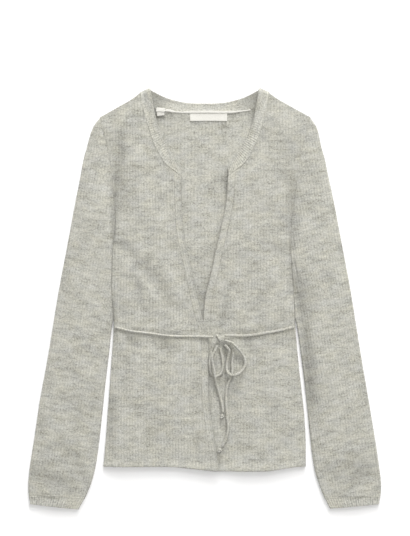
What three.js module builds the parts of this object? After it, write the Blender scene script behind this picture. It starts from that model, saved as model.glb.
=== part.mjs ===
// A knitted tie-front cardigan, laid out flat on its back.
// Millimetres, +Z up. The origin is on the floor under the middle of the garment, and the neck lies
// toward +Y. The wearer's right is at negative x. "Away" is the distance from the middle line to the
// side that is being built, so one function makes the right and the left piece.

import * as THREE from "three";

// Cloth and seams
const WALL = 2.4;
const SEAM_GAP = 0.3;
const LAYER_GAP = 0.4;
const UPPER = WALL + LAYER_GAP;
const OVERLAP = UPPER + WALL + 2 * SEAM_GAP;
const EDGE_ROUND = 0.8;

// How far the upper cloth stands off the back, in the middle of a panel and of a sleeve
const BODY_SWELL = 1.7;
const SLEEVE_SWELL = 2.6;
const SWELL_REACH = 38;
const HEM_WAVE = 1.6;
const HEM_WAVE_REACH = 34;
const HEM_REST_X = -64;
const HEM_WAVE_LENGTH = 210;
const NECK_RISE = 1.3;

// Heights of the laid-out garment along y
const SHOULDER_TIP_Y = 281;
const ARMPIT_Y = 80;
const CUFF_SEAM_Y = -307;
const NECK_SEAM_Y = 189.5;
const HEM_Y = -264;
const FRONT_BAND = 11;

// Ribbed bands
const BAND_WALL = 2.6;
const RIB_PITCH = 3.4;
const RIB_HEIGHT = 0.6;
const CUFF_SWELL = 1.6;

// Tie cord
const CORD = 5;
const CORD_SIDES = 8;
const CORD_CLEAR = 0.6;
const CORD_STEP = 12.5;
const LOOP_STEP = 9.5;
const WRAP_STEP = 3;

// Grid steps of the cloth walls
const FRONT_COLUMNS = 12;
const ROWS_BELOW_NECK = 20;
const ROWS_AT_NECK = 16;
const SLEEVE_COLUMNS = 7;
const SLEEVE_ROWS = 18;
const NECK_STEPS = 44;

// Outer line of the body: side seam from the hem to the armpit, then armhole up to the shoulder tip
const BODY_SIDE = table(["y", "right", "left"], [
  [-264, 157.2, 156.4],
  [-217, 153.0, 156.2],
  [-169, 149.4, 153.0],
  [-103, 144.6, 145.6],
  [-45, 141.0, 140.6],
  [17, 144.4, 137.4],
  [57, 143.8, 134.8],
  [80, 142.4, 133.6],
  [110, 139.4, 134.6],
  [141, 139.2, 137.2],
  [165, 141.6, 141.0],
  [200, 145.6, 145.6],
  [230, 150.4, 150.6],
  [255, 156.0, 157.0],
  [281, 162.2, 163.8],
]);

// Front edges. The right front lies on top and crosses the middle, so it ends at negative values.
const FRONT_EDGE = table(["y", "right", "left"], [
  [-268, -22.2, 5.2],
  [-237, -18.0, 1.0],
  [-205, -13.2, -3.0],
  [-157, -7.0, -4.2],
  [-110, -6.3, -4.2],
  [-64, -5.0, -4.0],
  [-30, 3.4, -2.4],
  [5, 12.0, 1.6],
  [44, 20.0, 11.0],
  [76, 27.9, 17.6],
  [110, 33.2, 25.4],
  [145, 35.4, 32.6],
  [198, 36.8, 36.6],
]);

// Sleeve edges: the one next to the body and the outer fold
const SLEEVE_INNER = table(["y", "right", "left"], [
  [-309, 185.6, 186.0],
  [-288, 176.8, 177.5],
  [-262, 169.8, 170.2],
  [-224, 164.0, 164.8],
  [-169, 158.0, 159.2],
  [-122, 153.0, 154.0],
  [-84, 148.4, 149.0],
  [-45, 144.2, 143.6],
  [-15, 139.0, 136.0],
  [80, 130.0, 120.0],
]);
const SLEEVE_OUTER = table(["y", "right", "left"], [
  [-307, 272.6, 272.6],
  [-288, 273.6, 273.6],
  [-261, 271.0, 270.6],
  [-222, 265.0, 265.0],
  [-157, 255.3, 254.2],
  [-84, 242.0, 241.8],
  [14, 225.8, 226.0],
  [91, 211.2, 211.6],
  [149, 200.6, 200.6],
  [191, 192.2, 191.6],
  [218, 187.2, 186.0],
  [236, 182.2, 180.8],
  [253, 177.6, 177.4],
  [268, 172.0, 172.6],
  [281, 162.2, 163.8],
]);
const CUFF_END = {
  right: { innerAway: 195.8, innerY: -326.7, outerAway: 270.6, outerY: -318.4 },
  left: { innerAway: 194.5, innerY: -325.4, outerAway: 270.2, outerY: -318.4 },
};

// Neckband, one row for each place along its right half from the front end to the middle of the back.
// "turn" is how far the band has folded over at the shoulder: 0 on the fronts, 180 on the back.
const NECKBAND = table(["freeAway", "freeY", "seamAway", "seamY", "turn"], [
  [35.4, 204.2, 36.7, 189.5, 0],
  [42.3, 213.6, 48.0, 198.5, 0],
  [50.0, 224.4, 62.0, 210.0, 0],
  [57.8, 236.8, 72.0, 226.0, 0],
  [64.8, 249.0, 79.4, 241.0, 0],
  [71.0, 264.7, 85.8, 259.0, 0],
  [75.6, 280.0, 90.8, 276.0, 0],
  [78.7, 295.7, 94.6, 293.0, 0],
  [81.6, 311.0, 97.6, 306.5, 0],
  [83.8, 323.8, 99.2, 316.8, 0],
  [84.8, 325.8, 100.2, 319.0, 90],
  [83.8, 323.8, 99.2, 316.8, 180],
  [77.0, 320.0, 90.4, 304.6, 180],
  [66.0, 314.4, 76.4, 294.8, 180],
  [53.8, 309.7, 62.0, 291.6, 180],
  [38.3, 305.8, 44.0, 289.6, 180],
  [22.8, 303.6, 25.0, 289.4, 180],
  [0.0, 303.0, 0.0, 289.6, 180],
]);

// Seam between a front and the neckband, by height
const NECK_SEAM = NECKBAND.filter((row) => row.turn === 0).map((row) => ({ y: row.seamY, away: row.seamAway }));
const NECK_CORNER_Y = NECK_SEAM.at(-1).y;
const FRONT_BAND_TOP_Y = NECK_SEAM[1].y;

// Largest folds of the upper cloth. Negative heights are troughs.
const FOLDS = table(["fromX", "fromY", "toX", "toY", "width", "height"], [
  [-103, 57, -54, -8, 12, -1.1],
  [-90, 66, -40, 2, 14, 0.9],
  [-139, 92, -112, 70, 12, -1.0],
  [-131, 254, -137, 145, 13, -0.8],
  [134, 192, 136, 92, 13, -0.8],
  [108, 76, 130, 76, 11, -0.8],
  [-167, 262, -158, 238, 12, 0.8],
  [170, 244, 160, 214, 12, 0.8],
  [152, 20, 166, -157, 12, -1.3],
  [-116, -60, -57, -66, 16, -0.7],
  [60, -60, 120, -50, 16, -0.7],
  [26, -26, 22, -50, 10, -0.5],
  [-232, -232, -196, -262, 16, -1.0],
  [236, -246, 204, -276, 15, -0.9],
]);

// Small pieces at the back neck, lying on the inside of the back
const TAPE = { thick: 0.5, wide: 3.6, reach: 76 };
const LABEL = { left: -22.8, right: 34.6, top: 287.4, bottom: 275.6, thick: 0.6 };
const CARE_LABEL = { thick: 0.6, height: 4.3 };
const CARE_OUTLINE = table(["x", "y"], [
  [-75.4, 283.0],
  [-61.6, 283.4],
  [-61.8, 290.8],
  [-48.0, 291.4],
  [-48.0, 296.2],
  [-74.2, 296.8],
]);

// Tie cord, chosen by hand. Level 0 lies on the cloth and level 1 crosses over another cord.
const TIE_ROUTES = {
  tie_waist_right: table(["x", "y", "level"], [
    [-139.6, -44.0, 0],
    [-115.8, -49.9, 0],
    [-84.8, -53.8, 0],
    [-53.8, -57.7, 0],
    [-22.8, -58.4, 0],
    [0.5, -58.6, 0.1],
    [13.6, -59.4, 0.4],
  ]),
  tie_waist_left: table(["x", "y", "level"], [
    [139.6, -43.4, 0],
    [116.7, -49.1, 0],
    [93.5, -53.0, 0],
    [62.5, -57.4, 0],
    [43.0, -56.4, 0.2],
    [30.6, -56.2, 0.5],
  ]),
  tie_loop_left: table(["x", "y", "level"], [
    [30.8, -64.2, 1.0],
    [42.2, -68.6, 1.0],
    [51.4, -77.0, 0.8],
    [59.6, -88.0, 0.2],
    [62.8, -100.0, 0],
    [57.8, -111.0, 0.3],
    [48.0, -117.4, 1.0],
    [39.2, -117.0, 1.0],
    [34.8, -110.4, 0.5],
    [34.6, -100.6, 0.3],
    [36.6, -89.0, 0.5],
    [38.0, -79.6, 1.0],
    [30.8, -70.8, 1.2],
  ]),
  tie_tail_left: table(["x", "y", "level"], [
    [36.0, -69.0, 0],
    [42.6, -76.4, 0],
    [44.0, -85.0, 0],
    [42.6, -97.0, 0],
    [42.8, -112.0, 0],
    [39.0, -125.0, 0],
    [34.0, -138.0, 0],
    [33.2, -160.0, 0],
    [34.8, -184.0, 0],
    [36.2, -202.0, 0],
    [32.4, -218.0, 0],
    [26.6, -229.0, 0],
  ]),
  tie_loop_right: table(["x", "y", "level"], [
    [16.4, -66.6, 0.3],
    [12.0, -76.0, 0],
    [9.2, -88.0, 0],
    [8.0, -102.0, 0],
    [9.6, -114.6, 0],
    [16.6, -120.4, 0],
    [24.4, -116.6, 0],
    [28.2, -106.0, 0],
    [27.8, -92.0, 0],
    [25.4, -82.0, 0],
    [23.4, -74.6, 0.2],
  ]),
  tie_tail_right: table(["x", "y", "level"], [
    [19.4, -71.8, 1.2],
    [15.6, -81.0, 1.3],
    [11.4, -89.4, 1.4],
    [12.2, -98.0, 1.4],
    [14.4, -110.0, 1.3],
    [15.8, -120.6, 1.2],
    [17.6, -131.0, 0.4],
    [21.4, -143.0, 0],
    [25.2, -157.0, 0],
    [27.8, -168.0, 0],
    [28.0, -176.6, 0],
  ]),
};
const KNOT = { x: 22, y: -61, long: 11.4, wide: 8.6, high: 7 };
const KNOT_WRAP = { direction: -60, from: -4, to: 184, steps: 6, clear: 0.5 };
const END_KNOT = { long: 8.4, wide: 7.2, high: 6.8 };
const END_KNOTS = {
  tie_end_left: { x: 23.6, y: -234.6 },
  tie_end_right: { x: 27.2, y: -182.2 },
};

// Colours
const WOOL = new THREE.MeshStandardMaterial({ color: 0xbdbcb2, roughness: 0.95, metalness: 0 });
const RIB_WOOL = new THREE.MeshStandardMaterial({ color: 0xc2c1b7, roughness: 0.95, metalness: 0 });
const TIE_WOOL = new THREE.MeshStandardMaterial({ color: 0xc4c3ba, roughness: 0.95, metalness: 0 });
const WHITE_WEAVE = new THREE.MeshStandardMaterial({ color: 0xf1f0ea, roughness: 0.8, metalness: 0 });

const SIDES = { right: -1, left: 1 };
const FLOOR = new THREE.Vector3(-Infinity, -Infinity, 0);

function table(columns, rows) {
  return rows.map((row) => Object.fromEntries(columns.map((name, i) => [name, row[i]])));
}

const mix = (a, b, t) => a + (b - a) * t;

function ramp(distance, reach) {
  const t = THREE.MathUtils.clamp(distance / reach, 0, 1);
  return t * t * (3 - 2 * t);
}

// Smooth value of one column of a table at a place along its first column
function follow(rows, column, at) {
  const key = Object.keys(rows[0])[0];
  const last = rows.length - 1;
  let i = rows.findIndex((row, index) => index < last && at <= rows[index + 1][key]);
  if (i < 0) i = last - 1;
  const slope = (k) => {
    const before = rows[Math.max(k - 1, 0)];
    const after = rows[Math.min(k + 1, last)];
    return (after[column] - before[column]) / (after[key] - before[key]);
  };
  const span = rows[i + 1][key] - rows[i][key];
  const t = (at - rows[i][key]) / span;
  const t2 = t * t;
  const t3 = t2 * t;
  return (2 * t3 - 3 * t2 + 1) * rows[i][column] + (t3 - 2 * t2 + t) * span * slope(i)
    + (3 * t2 - 2 * t3) * rows[i + 1][column] + (t3 - t2) * span * slope(i + 1);
}

const shoulderY = (away) => mix(SHOULDER_TIP_Y, NECK_CORNER_Y, (162 - away) / (162 - 99.6));

// Hem of the laid-out garment
function hemY(x) {
  const dip = ramp(x + 60, 90) * (1 - ramp(x - 90, 60));
  return -260.4 - 7.0 * dip;
}

function foldHeight(x, y) {
  const point = new THREE.Vector3(x, y, 0);
  const nearest = new THREE.Vector3();
  let height = 0;
  for (const fold of FOLDS) {
    const from = new THREE.Vector3(fold.fromX, fold.fromY, 0);
    const to = new THREE.Vector3(fold.toX, fold.toY, 0);
    new THREE.Line3(from, to).closestPointToPoint(point, true, nearest);
    height += fold.height * Math.exp(-((nearest.distanceTo(point) / fold.width) ** 2));
  }
  return height;
}

// Underside of a front above the floor
function frontLift(side, away, y) {
  const x = SIDES[side] * away;
  const fromSide = follow(BODY_SIDE, side, Math.min(y, SHOULDER_TIP_Y)) - away;
  const fromMiddle = away - follow(FRONT_EDGE, side, Math.min(y, NECK_SEAM_Y));
  const flatStrip = side === "left" ? 30 : 6;
  const fromNeck = y > NECK_SEAM_Y ? away - follow(NECK_SEAM, "away", Math.min(y, NECK_CORNER_Y)) : Infinity;
  const spread = ramp(fromSide, SWELL_REACH) * ramp(fromMiddle - flatStrip, SWELL_REACH)
    * ramp(fromNeck, SWELL_REACH) * ramp(shoulderY(away) - y, SWELL_REACH);
  const wave = 0.5 - 0.5 * Math.cos((2 * Math.PI * (x - HEM_REST_X)) / HEM_WAVE_LENGTH);
  const hem = HEM_WAVE * wave * (1 - ramp(y - hemY(x), HEM_WAVE_REACH)) * ramp(fromSide, 20);
  const edgeFade = ramp(fromSide, 12) * ramp(fromMiddle, 16);
  const swell = (BODY_SWELL + foldHeight(x, y)) * spread + foldHeight(x, y) * edgeFade * (1 - spread);
  const cloth = UPPER + Math.max(0, swell + hem * ramp(fromMiddle - flatStrip, 20)) + neckRise(y);
  if (side === "left") return cloth;
  return Math.max(cloth, overlapLift(away, y));
}

// The right front climbs over the edge of the left front
function overlapLift(away, y) {
  const covered = -follow(FRONT_EDGE, "left", Math.min(y, NECK_SEAM_Y));
  const climb = 1 - ramp(away - covered - 3, 26);
  return UPPER + (OVERLAP - UPPER) * climb * (1 - ramp(y + 28, 60));
}

const neckRise = (y) => NECK_RISE * ramp(y - 215, 70);

// A closed mesh from shared points and the quads between them, turned so that its faces point out
function solid(points, quads) {
  const index = [];
  for (const [a, b, c, d] of quads) index.push(a, b, c, a, c, d);
  let volume = 0;
  for (let i = 0; i < index.length; i += 3) {
    const [a, b, c] = [points[index[i]], points[index[i + 1]], points[index[i + 2]]];
    volume += a.dot(new THREE.Vector3().crossVectors(b, c));
  }
  if (volume < 0) index.reverse();
  const geometry = new THREE.BufferGeometry().setFromPoints(points);
  geometry.setIndex(index);
  geometry.computeVertexNormals();
  return geometry;
}

// A sheet with two faces, from rows of upper and lower points of the same count
function sheet(upper, lower) {
  const columns = upper[0].length;
  const ring = 2 * columns;
  const points = upper.flatMap((row, i) => [...row, ...lower[i].slice().reverse()]);
  const quads = [];
  for (let i = 0; i + 1 < upper.length; i++) {
    for (let j = 0; j < ring; j++) {
      const next = (j + 1) % ring;
      quads.push([i * ring + j, i * ring + next, (i + 1) * ring + next, (i + 1) * ring + j]);
    }
  }
  const end = (upper.length - 1) * ring;
  for (let j = 0; j + 1 < columns; j++) {
    const under = ring - 1 - j;
    quads.push([j, under, under - 1, j + 1]);
    quads.push([end + j, end + j + 1, end + under - 1, end + under]);
  }
  return solid(points, quads);
}

// An open tube with a wall, from rows of outer and inner rings of the same count
function tube(outer, inner) {
  const rows = [...outer, ...inner.slice().reverse()];
  const ring = rows[0].length;
  const quads = [];
  for (let i = 0; i < rows.length; i++) {
    const after = (i + 1) % rows.length;
    for (let j = 0; j < ring; j++) {
      const next = (j + 1) % ring;
      quads.push([i * ring + j, i * ring + next, after * ring + next, after * ring + j]);
    }
  }
  return solid(rows.flat(), quads);
}

function named(name, geometry, material) {
  const mesh = new THREE.Mesh(geometry, material);
  mesh.name = name;
  return mesh;
}

// Places along a front's height from hem to shoulder, closer together where the neck curves.
// The first ROWS_BELOW_NECK of them lie along the front band.
function frontRows() {
  const turn = (FRONT_BAND_TOP_Y - HEM_Y) / (NECK_CORNER_Y - HEM_Y);
  const rows = [];
  for (let i = 0; i < ROWS_BELOW_NECK; i++) rows.push((turn * i) / ROWS_BELOW_NECK);
  for (let i = 0; i <= ROWS_AT_NECK; i++) rows.push(mix(turn, 1, i / ROWS_AT_NECK));
  return rows;
}

// Edge of a front panel toward the middle: the front band's seam, then the neckband's seam
function frontInner(side, v) {
  const turn = (FRONT_BAND_TOP_Y - HEM_Y) / (NECK_CORNER_Y - HEM_Y);
  if (v >= turn) {
    const start = NECKBAND.findIndex((row) => row.seamY === FRONT_BAND_TOP_Y);
    const end = NECKBAND.findIndex((row) => row.turn > 0) - 1;
    const index = mix(start, end, (v - turn) / (1 - turn));
    const point = neckSeamPoint(index / (BAND_LINES.rows.length - 1), 1.5 * SEAM_GAP);
    return { away: -point.x, y: point.y };
  }
  const hem = hemY(SIDES[side] * (follow(FRONT_EDGE, side, HEM_Y) + FRONT_BAND));
  const y = mix(hem, FRONT_BAND_TOP_Y, v / turn);
  return { away: follow(FRONT_EDGE, side, y) + FRONT_BAND + SEAM_GAP, y };
}

// Edge of a front panel toward the side: the side seam, then the armhole
function frontOuter(side, v) {
  const hem = hemY(SIDES[side] * follow(BODY_SIDE, side, HEM_Y));
  const y = mix(hem, SHOULDER_TIP_Y, v);
  return { away: follow(BODY_SIDE, side, y) - SEAM_GAP / 2, y };
}

// Upper and lower point of a front's wall, with its rim rounded off
function frontPair(side, away, y, atRim) {
  const x = SIDES[side] * away;
  const lift = frontLift(side, away, y);
  const top = lift + WALL - (atRim ? EDGE_ROUND : 0);
  return [new THREE.Vector3(x, y, top), new THREE.Vector3(x, y, lift)];
}

function frontPanel(side) {
  const rows = frontRows().map((v) => {
    const outer = frontOuter(side, v);
    const inner = frontInner(side, v);
    return Array.from({ length: FRONT_COLUMNS + 1 }, (_, j) => {
      const u = j / FRONT_COLUMNS;
      const away = mix(outer.away, inner.away, u);
      const hemBow = hemY(SIDES[side] * away) - mix(frontOuter(side, 0).y, frontInner(side, 0).y, u);
      const y = mix(outer.y, inner.y, u) + hemBow * (1 - ramp(v, 0.12));
      return frontPair(side, away, y, j === 0 || v === 0);
    });
  });
  return sheet(rows.map((row) => row.map((pair) => pair[0])), rows.map((row) => row.map((pair) => pair[1])));
}

// Narrow knitted strip along a front edge, from the hem to the end of the neckband
function frontBand(side) {
  const places = frontRows().slice(0, ROWS_BELOW_NECK + 1);
  const rows = places.map((v, i) => {
    const climb = i / ROWS_BELOW_NECK;
    const seam = frontInner(side, v);
    const edgeY = mix(hemY(SIDES[side] * follow(FRONT_EDGE, side, HEM_Y)), NECK_SEAM_Y, climb);
    const seamY = seam.y - 2 * SEAM_GAP * climb;
    const edge = { away: follow(FRONT_EDGE, side, edgeY), y: edgeY - 2 * SEAM_GAP * climb };
    const middle = { away: (seam.away + edge.away) / 2, y: (seamY + edge.y) / 2 };
    return [
      frontPair(side, seam.away - SEAM_GAP, seamY, v === 0),
      frontPair(side, middle.away, middle.y, v === 0),
      frontPair(side, edge.away, edge.y, true),
    ];
  });
  return sheet(rows.map((row) => row.map((pair) => pair[0])), rows.map((row) => row.map((pair) => pair[1])));
}

// Flattened rings of a sleeve or cuff: flat underneath, swelling on top, with round edges
function flatRing(place, width, columns, inset, underside, topAt) {
  const ring = [];
  const corner = Math.min((inset + 1.2) / width, 0.4);
  const side = Math.min(inset / width, 0.3);
  const shares = Array.from({ length: columns + 1 }, (_, j) => mix(corner, 1 - corner, j / columns));
  const point = (u, z) => {
    const p = place(u);
    return new THREE.Vector3(p.x, p.y, z);
  };
  for (const u of shares) ring.push(point(u, underside));
  ring.push(point(1 - side, mix(underside, topAt(1), 0.5)));
  for (const u of shares.slice().reverse()) ring.push(point(u, topAt(u)));
  ring.push(point(side, mix(underside, topAt(0), 0.5)));
  return ring;
}

const bodyGap = (side, y) => follow(BODY_SIDE, side, y) + SEAM_GAP;

function sleevePlace(side, u, v) {
  const innerY = mix(CUFF_SEAM_Y, ARMPIT_Y, v);
  const outerY = mix(CUFF_SEAM_Y + 1.5, SHOULDER_TIP_Y, v);
  const innerAway = Math.max(follow(SLEEVE_INNER, side, innerY), bodyGap(side, innerY));
  const outerAway = follow(SLEEVE_OUTER, side, outerY);
  const armholeY = mix(ARMPIT_Y, SHOULDER_TIP_Y, u);
  const straight = mix(bodyGap(side, ARMPIT_Y), bodyGap(side, SHOULDER_TIP_Y), u);
  const bow = (bodyGap(side, armholeY) - straight) * v ** 4;
  return new THREE.Vector2(SIDES[side] * (mix(innerAway, outerAway, u) + bow), mix(innerY, outerY, u));
}

function sleeve(side) {
  const outer = [];
  const inner = [];
  for (let i = 0; i <= SLEEVE_ROWS; i++) {
    const v = i / SLEEVE_ROWS;
    const place = (u) => sleevePlace(side, u, v);
    const width = place(0).distanceTo(place(1));
    const fromArmhole = (1 - v) * (ARMPIT_Y - CUFF_SEAM_Y);
    const lift = (u) => {
      const p = place(u);
      const fromEdge = Math.min(u, 1 - u) * width;
      const swell = SLEEVE_SWELL * ramp(fromEdge, SWELL_REACH) * ramp(fromArmhole, SWELL_REACH);
      const folds = foldHeight(p.x, p.y) * ramp(fromEdge, 10) * ramp(fromArmhole, 10);
      return UPPER + Math.max(0, swell + folds) + neckRise(p.y) * ramp(60 - fromArmhole, 60);
    };
    outer.push(flatRing(place, width, SLEEVE_COLUMNS, 0, 0, (u) => lift(u) + WALL));
    inner.push(flatRing(place, width, SLEEVE_COLUMNS, WALL, WALL, lift));
  }
  return tube(outer, inner);
}

function cuff(side) {
  const end = CUFF_END[side];
  const seamInner = sleevePlace(side, 0, 0);
  const seamOuter = sleevePlace(side, 1, 0);
  const rows = [
    [seamInner, seamOuter].map((p) => new THREE.Vector2(p.x, p.y - SEAM_GAP)),
    [
      new THREE.Vector2(SIDES[side] * end.innerAway, end.innerY),
      new THREE.Vector2(SIDES[side] * end.outerAway, end.outerY),
    ],
  ];
  const ribs = Math.round(rows[1][0].distanceTo(rows[1][1]) / RIB_PITCH);
  const outer = [];
  const inner = [];
  for (const [from, to] of rows) {
    const place = (u) => from.clone().lerp(to, u);
    const width = from.distanceTo(to);
    const lift = (u) => UPPER + CUFF_SWELL * ramp(Math.min(u, 1 - u) * width, SWELL_REACH);
    const columns = 2 * ribs;
    const first = 1.2 / width;
    const step = (1 - 2 * first) / columns;
    const ribbed = (u) => lift(u) + WALL - RIB_HEIGHT * (Math.round((u - first) / step) % 2 ? 0 : 1);
    outer.push(flatRing(place, width, columns, 0, 0, ribbed));
    inner.push(flatRing(place, width, columns, WALL, WALL, lift));
  }
  return tube(outer, inner);
}

// Free edge, seam edge and middle line of the neckband from the right front end to the left one
function neckbandLines() {
  const rightHalf = NECKBAND.map((row) => ({ ...row, sign: -1 }));
  const leftHalf = NECKBAND.slice(0, -1).reverse().map((row) => ({ ...row, sign: 1 }));
  const rows = [...rightHalf, ...leftHalf];
  const middleZ = (row) => {
    const front = UPPER + neckRise(row.seamY) + BAND_WALL / 2;
    return mix(BAND_WALL / 2, front, 0.5 + 0.5 * Math.cos(THREE.MathUtils.degToRad(row.turn)));
  };
  const line = (away, y) => new THREE.CatmullRomCurve3(
    rows.map((row) => new THREE.Vector3(row.sign * away(row), y(row), middleZ(row))));
  const free = line((row) => row.freeAway, (row) => row.freeY);
  const seam = line((row) => row.seamAway, (row) => row.seamY);
  const middle = line((row) => (row.freeAway + row.seamAway) / 2, (row) => (row.freeY + row.seamY) / 2);
  middle.arcLengthDivisions = 1200;
  return { rows, free, seam, middle };
}

const BAND_LINES = neckbandLines();

// Point of the neckband's seam edge, moved out from the band by a gap
function neckSeamPoint(t, gap) {
  const { free, seam } = BAND_LINES;
  const point = seam.getPoint(t);
  const across = point.clone().sub(free.getPoint(t)).setZ(0).normalize();
  return point.addScaledVector(across, gap);
}

// Seam of the back with the neckband, from the wearer's left shoulder to the right one
function backNeckLine(steps, gap) {
  const { rows } = BAND_LINES;
  const first = rows.findIndex((row) => row.turn === 180);
  const last = rows.length - 1 - first;
  return Array.from({ length: steps + 1 }, (_, i) => (
    neckSeamPoint(mix(last, first, i / steps) / (rows.length - 1), gap)));
}

// Ribbed band round the neck. It lies on the fronts' level, folds over at the shoulders and passes
// behind the neck on the back's level with its inside up.
function neckband() {
  const { rows, free, seam, middle } = BAND_LINES;
  const stations = 2 * Math.round(middle.getLength() / RIB_PITCH);
  const upper = [];
  const lower = [];
  for (let i = 0; i <= stations; i++) {
    const t = middle.getUtoTmapping(i / stations);
    const at = t * (rows.length - 1);
    const row = Math.min(Math.floor(at), rows.length - 2);
    const turn = THREE.MathUtils.degToRad(mix(rows[row].turn, rows[row + 1].turn, at - row));
    const freePoint = free.getPoint(t);
    const seamPoint = seam.getPoint(t);
    const across = seamPoint.clone().sub(freePoint).setZ(0).normalize();
    const outward = new THREE.Vector3(-across.y, across.x, 0);
    if (outward.y < 0) outward.negate();
    const face = new THREE.Vector3(0, 0, Math.cos(turn)).addScaledVector(outward, Math.sin(turn));
    const rib = i % 2 ? RIB_HEIGHT : 0;
    const raisedOut = BAND_WALL / 2 + rib * Math.max(0, face.z);
    const raisedIn = BAND_WALL / 2 + rib * Math.max(0, -face.z);
    const moved = (p, by) => p.clone().addScaledVector(face, by).max(FLOOR);
    upper.push([freePoint, seamPoint].map((p) => moved(p, raisedOut)));
    lower.push([freePoint, seamPoint].map((p) => moved(p, -raisedIn)));
  }
  return sheet(upper, lower);
}

function slab(outline, thick, z) {
  const shape = new THREE.Shape(outline.map((p) => new THREE.Vector2(p.x, p.y)));
  const geometry = new THREE.ExtrudeGeometry(shape, { depth: thick, bevelEnabled: false });
  geometry.translate(0, 0, z);
  return geometry;
}

// Back, from its hem round the right side, the neck and the left side
function backPanel() {
  const sideSteps = 64;
  const hemSteps = 10;
  const outline = [];
  const sideLine = (side) => Array.from({ length: sideSteps + 1 }, (_, i) => {
    const y = mix(hemY(SIDES[side] * 150), SHOULDER_TIP_Y, i / sideSteps);
    return { x: SIDES[side] * (follow(BODY_SIDE, side, y) - SEAM_GAP / 2), y };
  });
  for (let i = 1; i < hemSteps; i++) {
    const x = mix(-150, 150, i / hemSteps);
    outline.push({ x, y: hemY(x) + 1.5 });
  }
  outline.push(...sideLine("left"), ...backNeckLine(NECK_STEPS, SEAM_GAP), ...sideLine("right").reverse());
  return slab(outline, WALL, 0);
}

// Woven tape over the seam between the back and the neckband
function neckTape() {
  const seam = backNeckLine(NECK_STEPS, 0).filter((p) => Math.abs(p.x) < TAPE.reach);
  const z = BAND_WALL + RIB_HEIGHT + SEAM_GAP;
  const row = (offset, height) => seam.map((p) => new THREE.Vector3(p.x, p.y + offset, height));
  const half = TAPE.wide / 2;
  return sheet([row(-half, z + TAPE.thick), row(half, z + TAPE.thick)], [row(-half, z), row(half, z)]);
}

function neckLabel() {
  const { left, right, top, bottom, thick } = LABEL;
  const outline = [{ x: left, y: bottom }, { x: right, y: bottom }, { x: right, y: top }, { x: left, y: top }];
  return slab(outline, thick, WALL + SEAM_GAP);
}

const careLabel = () => slab(CARE_OUTLINE, CARE_LABEL.thick, CARE_LABEL.height);

// Highest cloth under a cord at a place
function clothTop(x, y) {
  const tops = [WALL];
  for (const side of ["right", "left"]) {
    const away = SIDES[side] * x;
    if (away >= follow(FRONT_EDGE, side, y)) tops.push(frontLift(side, away, y) + WALL);
  }
  return Math.max(...tops);
}

function cordCentre(x, y, level) {
  const reach = CORD / 2 + 1;
  const tops = [clothTop(x, y), clothTop(x - reach, y), clothTop(x + reach, y), clothTop(x, y - reach),
    clothTop(x, y + reach)];
  const z = Math.max(...tops) + CORD_CLEAR + CORD / 2 + level * (CORD + CORD_CLEAR);
  return new THREE.Vector3(x, y, z);
}

function cordTube(points, step) {
  const path = new THREE.CatmullRomCurve3(points);
  const corners = Array.from({ length: CORD_SIDES }, (_, i) => {
    const angle = (2 * Math.PI * i) / CORD_SIDES;
    return new THREE.Vector2((CORD / 2) * Math.cos(angle), (CORD / 2) * Math.sin(angle));
  });
  const steps = Math.round(path.getLength() / step);
  return new THREE.ExtrudeGeometry(new THREE.Shape(corners), { steps, extrudePath: path, bevelEnabled: false });
}

function tieCord(name) {
  const points = TIE_ROUTES[name].map(({ x, y, level }) => cordCentre(x, y, level));
  return cordTube(points, name.startsWith("tie_loop") ? LOOP_STEP : CORD_STEP);
}

function lump(x, y, z, long, wide, high, degrees) {
  const geometry = new THREE.SphereGeometry(0.5, 12, 8);
  geometry.scale(long, wide, high);
  geometry.rotateZ(THREE.MathUtils.degToRad(degrees));
  geometry.translate(x, y, z);
  return geometry;
}

const knotHeight = () => clothTop(KNOT.x, KNOT.y) + CORD_CLEAR + KNOT.high / 2;

const knotCore = () => lump(KNOT.x, KNOT.y, knotHeight(), KNOT.long, KNOT.wide, KNOT.high, 0);

// Strand that binds the knot, arched over its core
function knotWrap() {
  const heading = THREE.MathUtils.degToRad(KNOT_WRAP.direction);
  const away = KNOT_WRAP.clear + CORD / 2;
  const points = Array.from({ length: KNOT_WRAP.steps + 1 }, (_, i) => {
    const angle = THREE.MathUtils.degToRad(mix(KNOT_WRAP.from, KNOT_WRAP.to, i / KNOT_WRAP.steps));
    const along = (KNOT.long / 2 + away) * Math.cos(angle);
    const up = (KNOT.high / 2 + away) * Math.sin(angle);
    return new THREE.Vector3(
      KNOT.x + along * Math.cos(heading), KNOT.y + along * Math.sin(heading), knotHeight() + up);
  });
  return cordTube(points, WRAP_STEP);
}

function endKnot({ x, y }) {
  const z = clothTop(x, y) + CORD_CLEAR + END_KNOT.high / 2;
  return lump(x, y, z, END_KNOT.long, END_KNOT.wide, END_KNOT.high, 60);
}

const cardigan = new THREE.Group();
cardigan.add(named("back_panel", backPanel(), WOOL));
for (const side of ["right", "left"]) {
  cardigan.add(named(`front_${side}`, frontPanel(side), WOOL));
  cardigan.add(named(`front_band_${side}`, frontBand(side), RIB_WOOL));
  cardigan.add(named(`sleeve_${side}`, sleeve(side), WOOL));
  cardigan.add(named(`cuff_${side}`, cuff(side), RIB_WOOL));
}
cardigan.add(named("neckband", neckband(), RIB_WOOL));
cardigan.add(named("neck_tape", neckTape(), WHITE_WEAVE));
cardigan.add(named("neck_label", neckLabel(), WHITE_WEAVE));
cardigan.add(named("care_label", careLabel(), WHITE_WEAVE));
for (const name of Object.keys(TIE_ROUTES)) cardigan.add(named(name, tieCord(name), TIE_WOOL));
cardigan.add(named("tie_knot", knotCore(), TIE_WOOL));
cardigan.add(named("tie_knot_wrap", knotWrap(), TIE_WOOL));
for (const [name, place] of Object.entries(END_KNOTS)) {
  cardigan.add(named(name, endKnot(place), TIE_WOOL));
}

export default cardigan;
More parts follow.
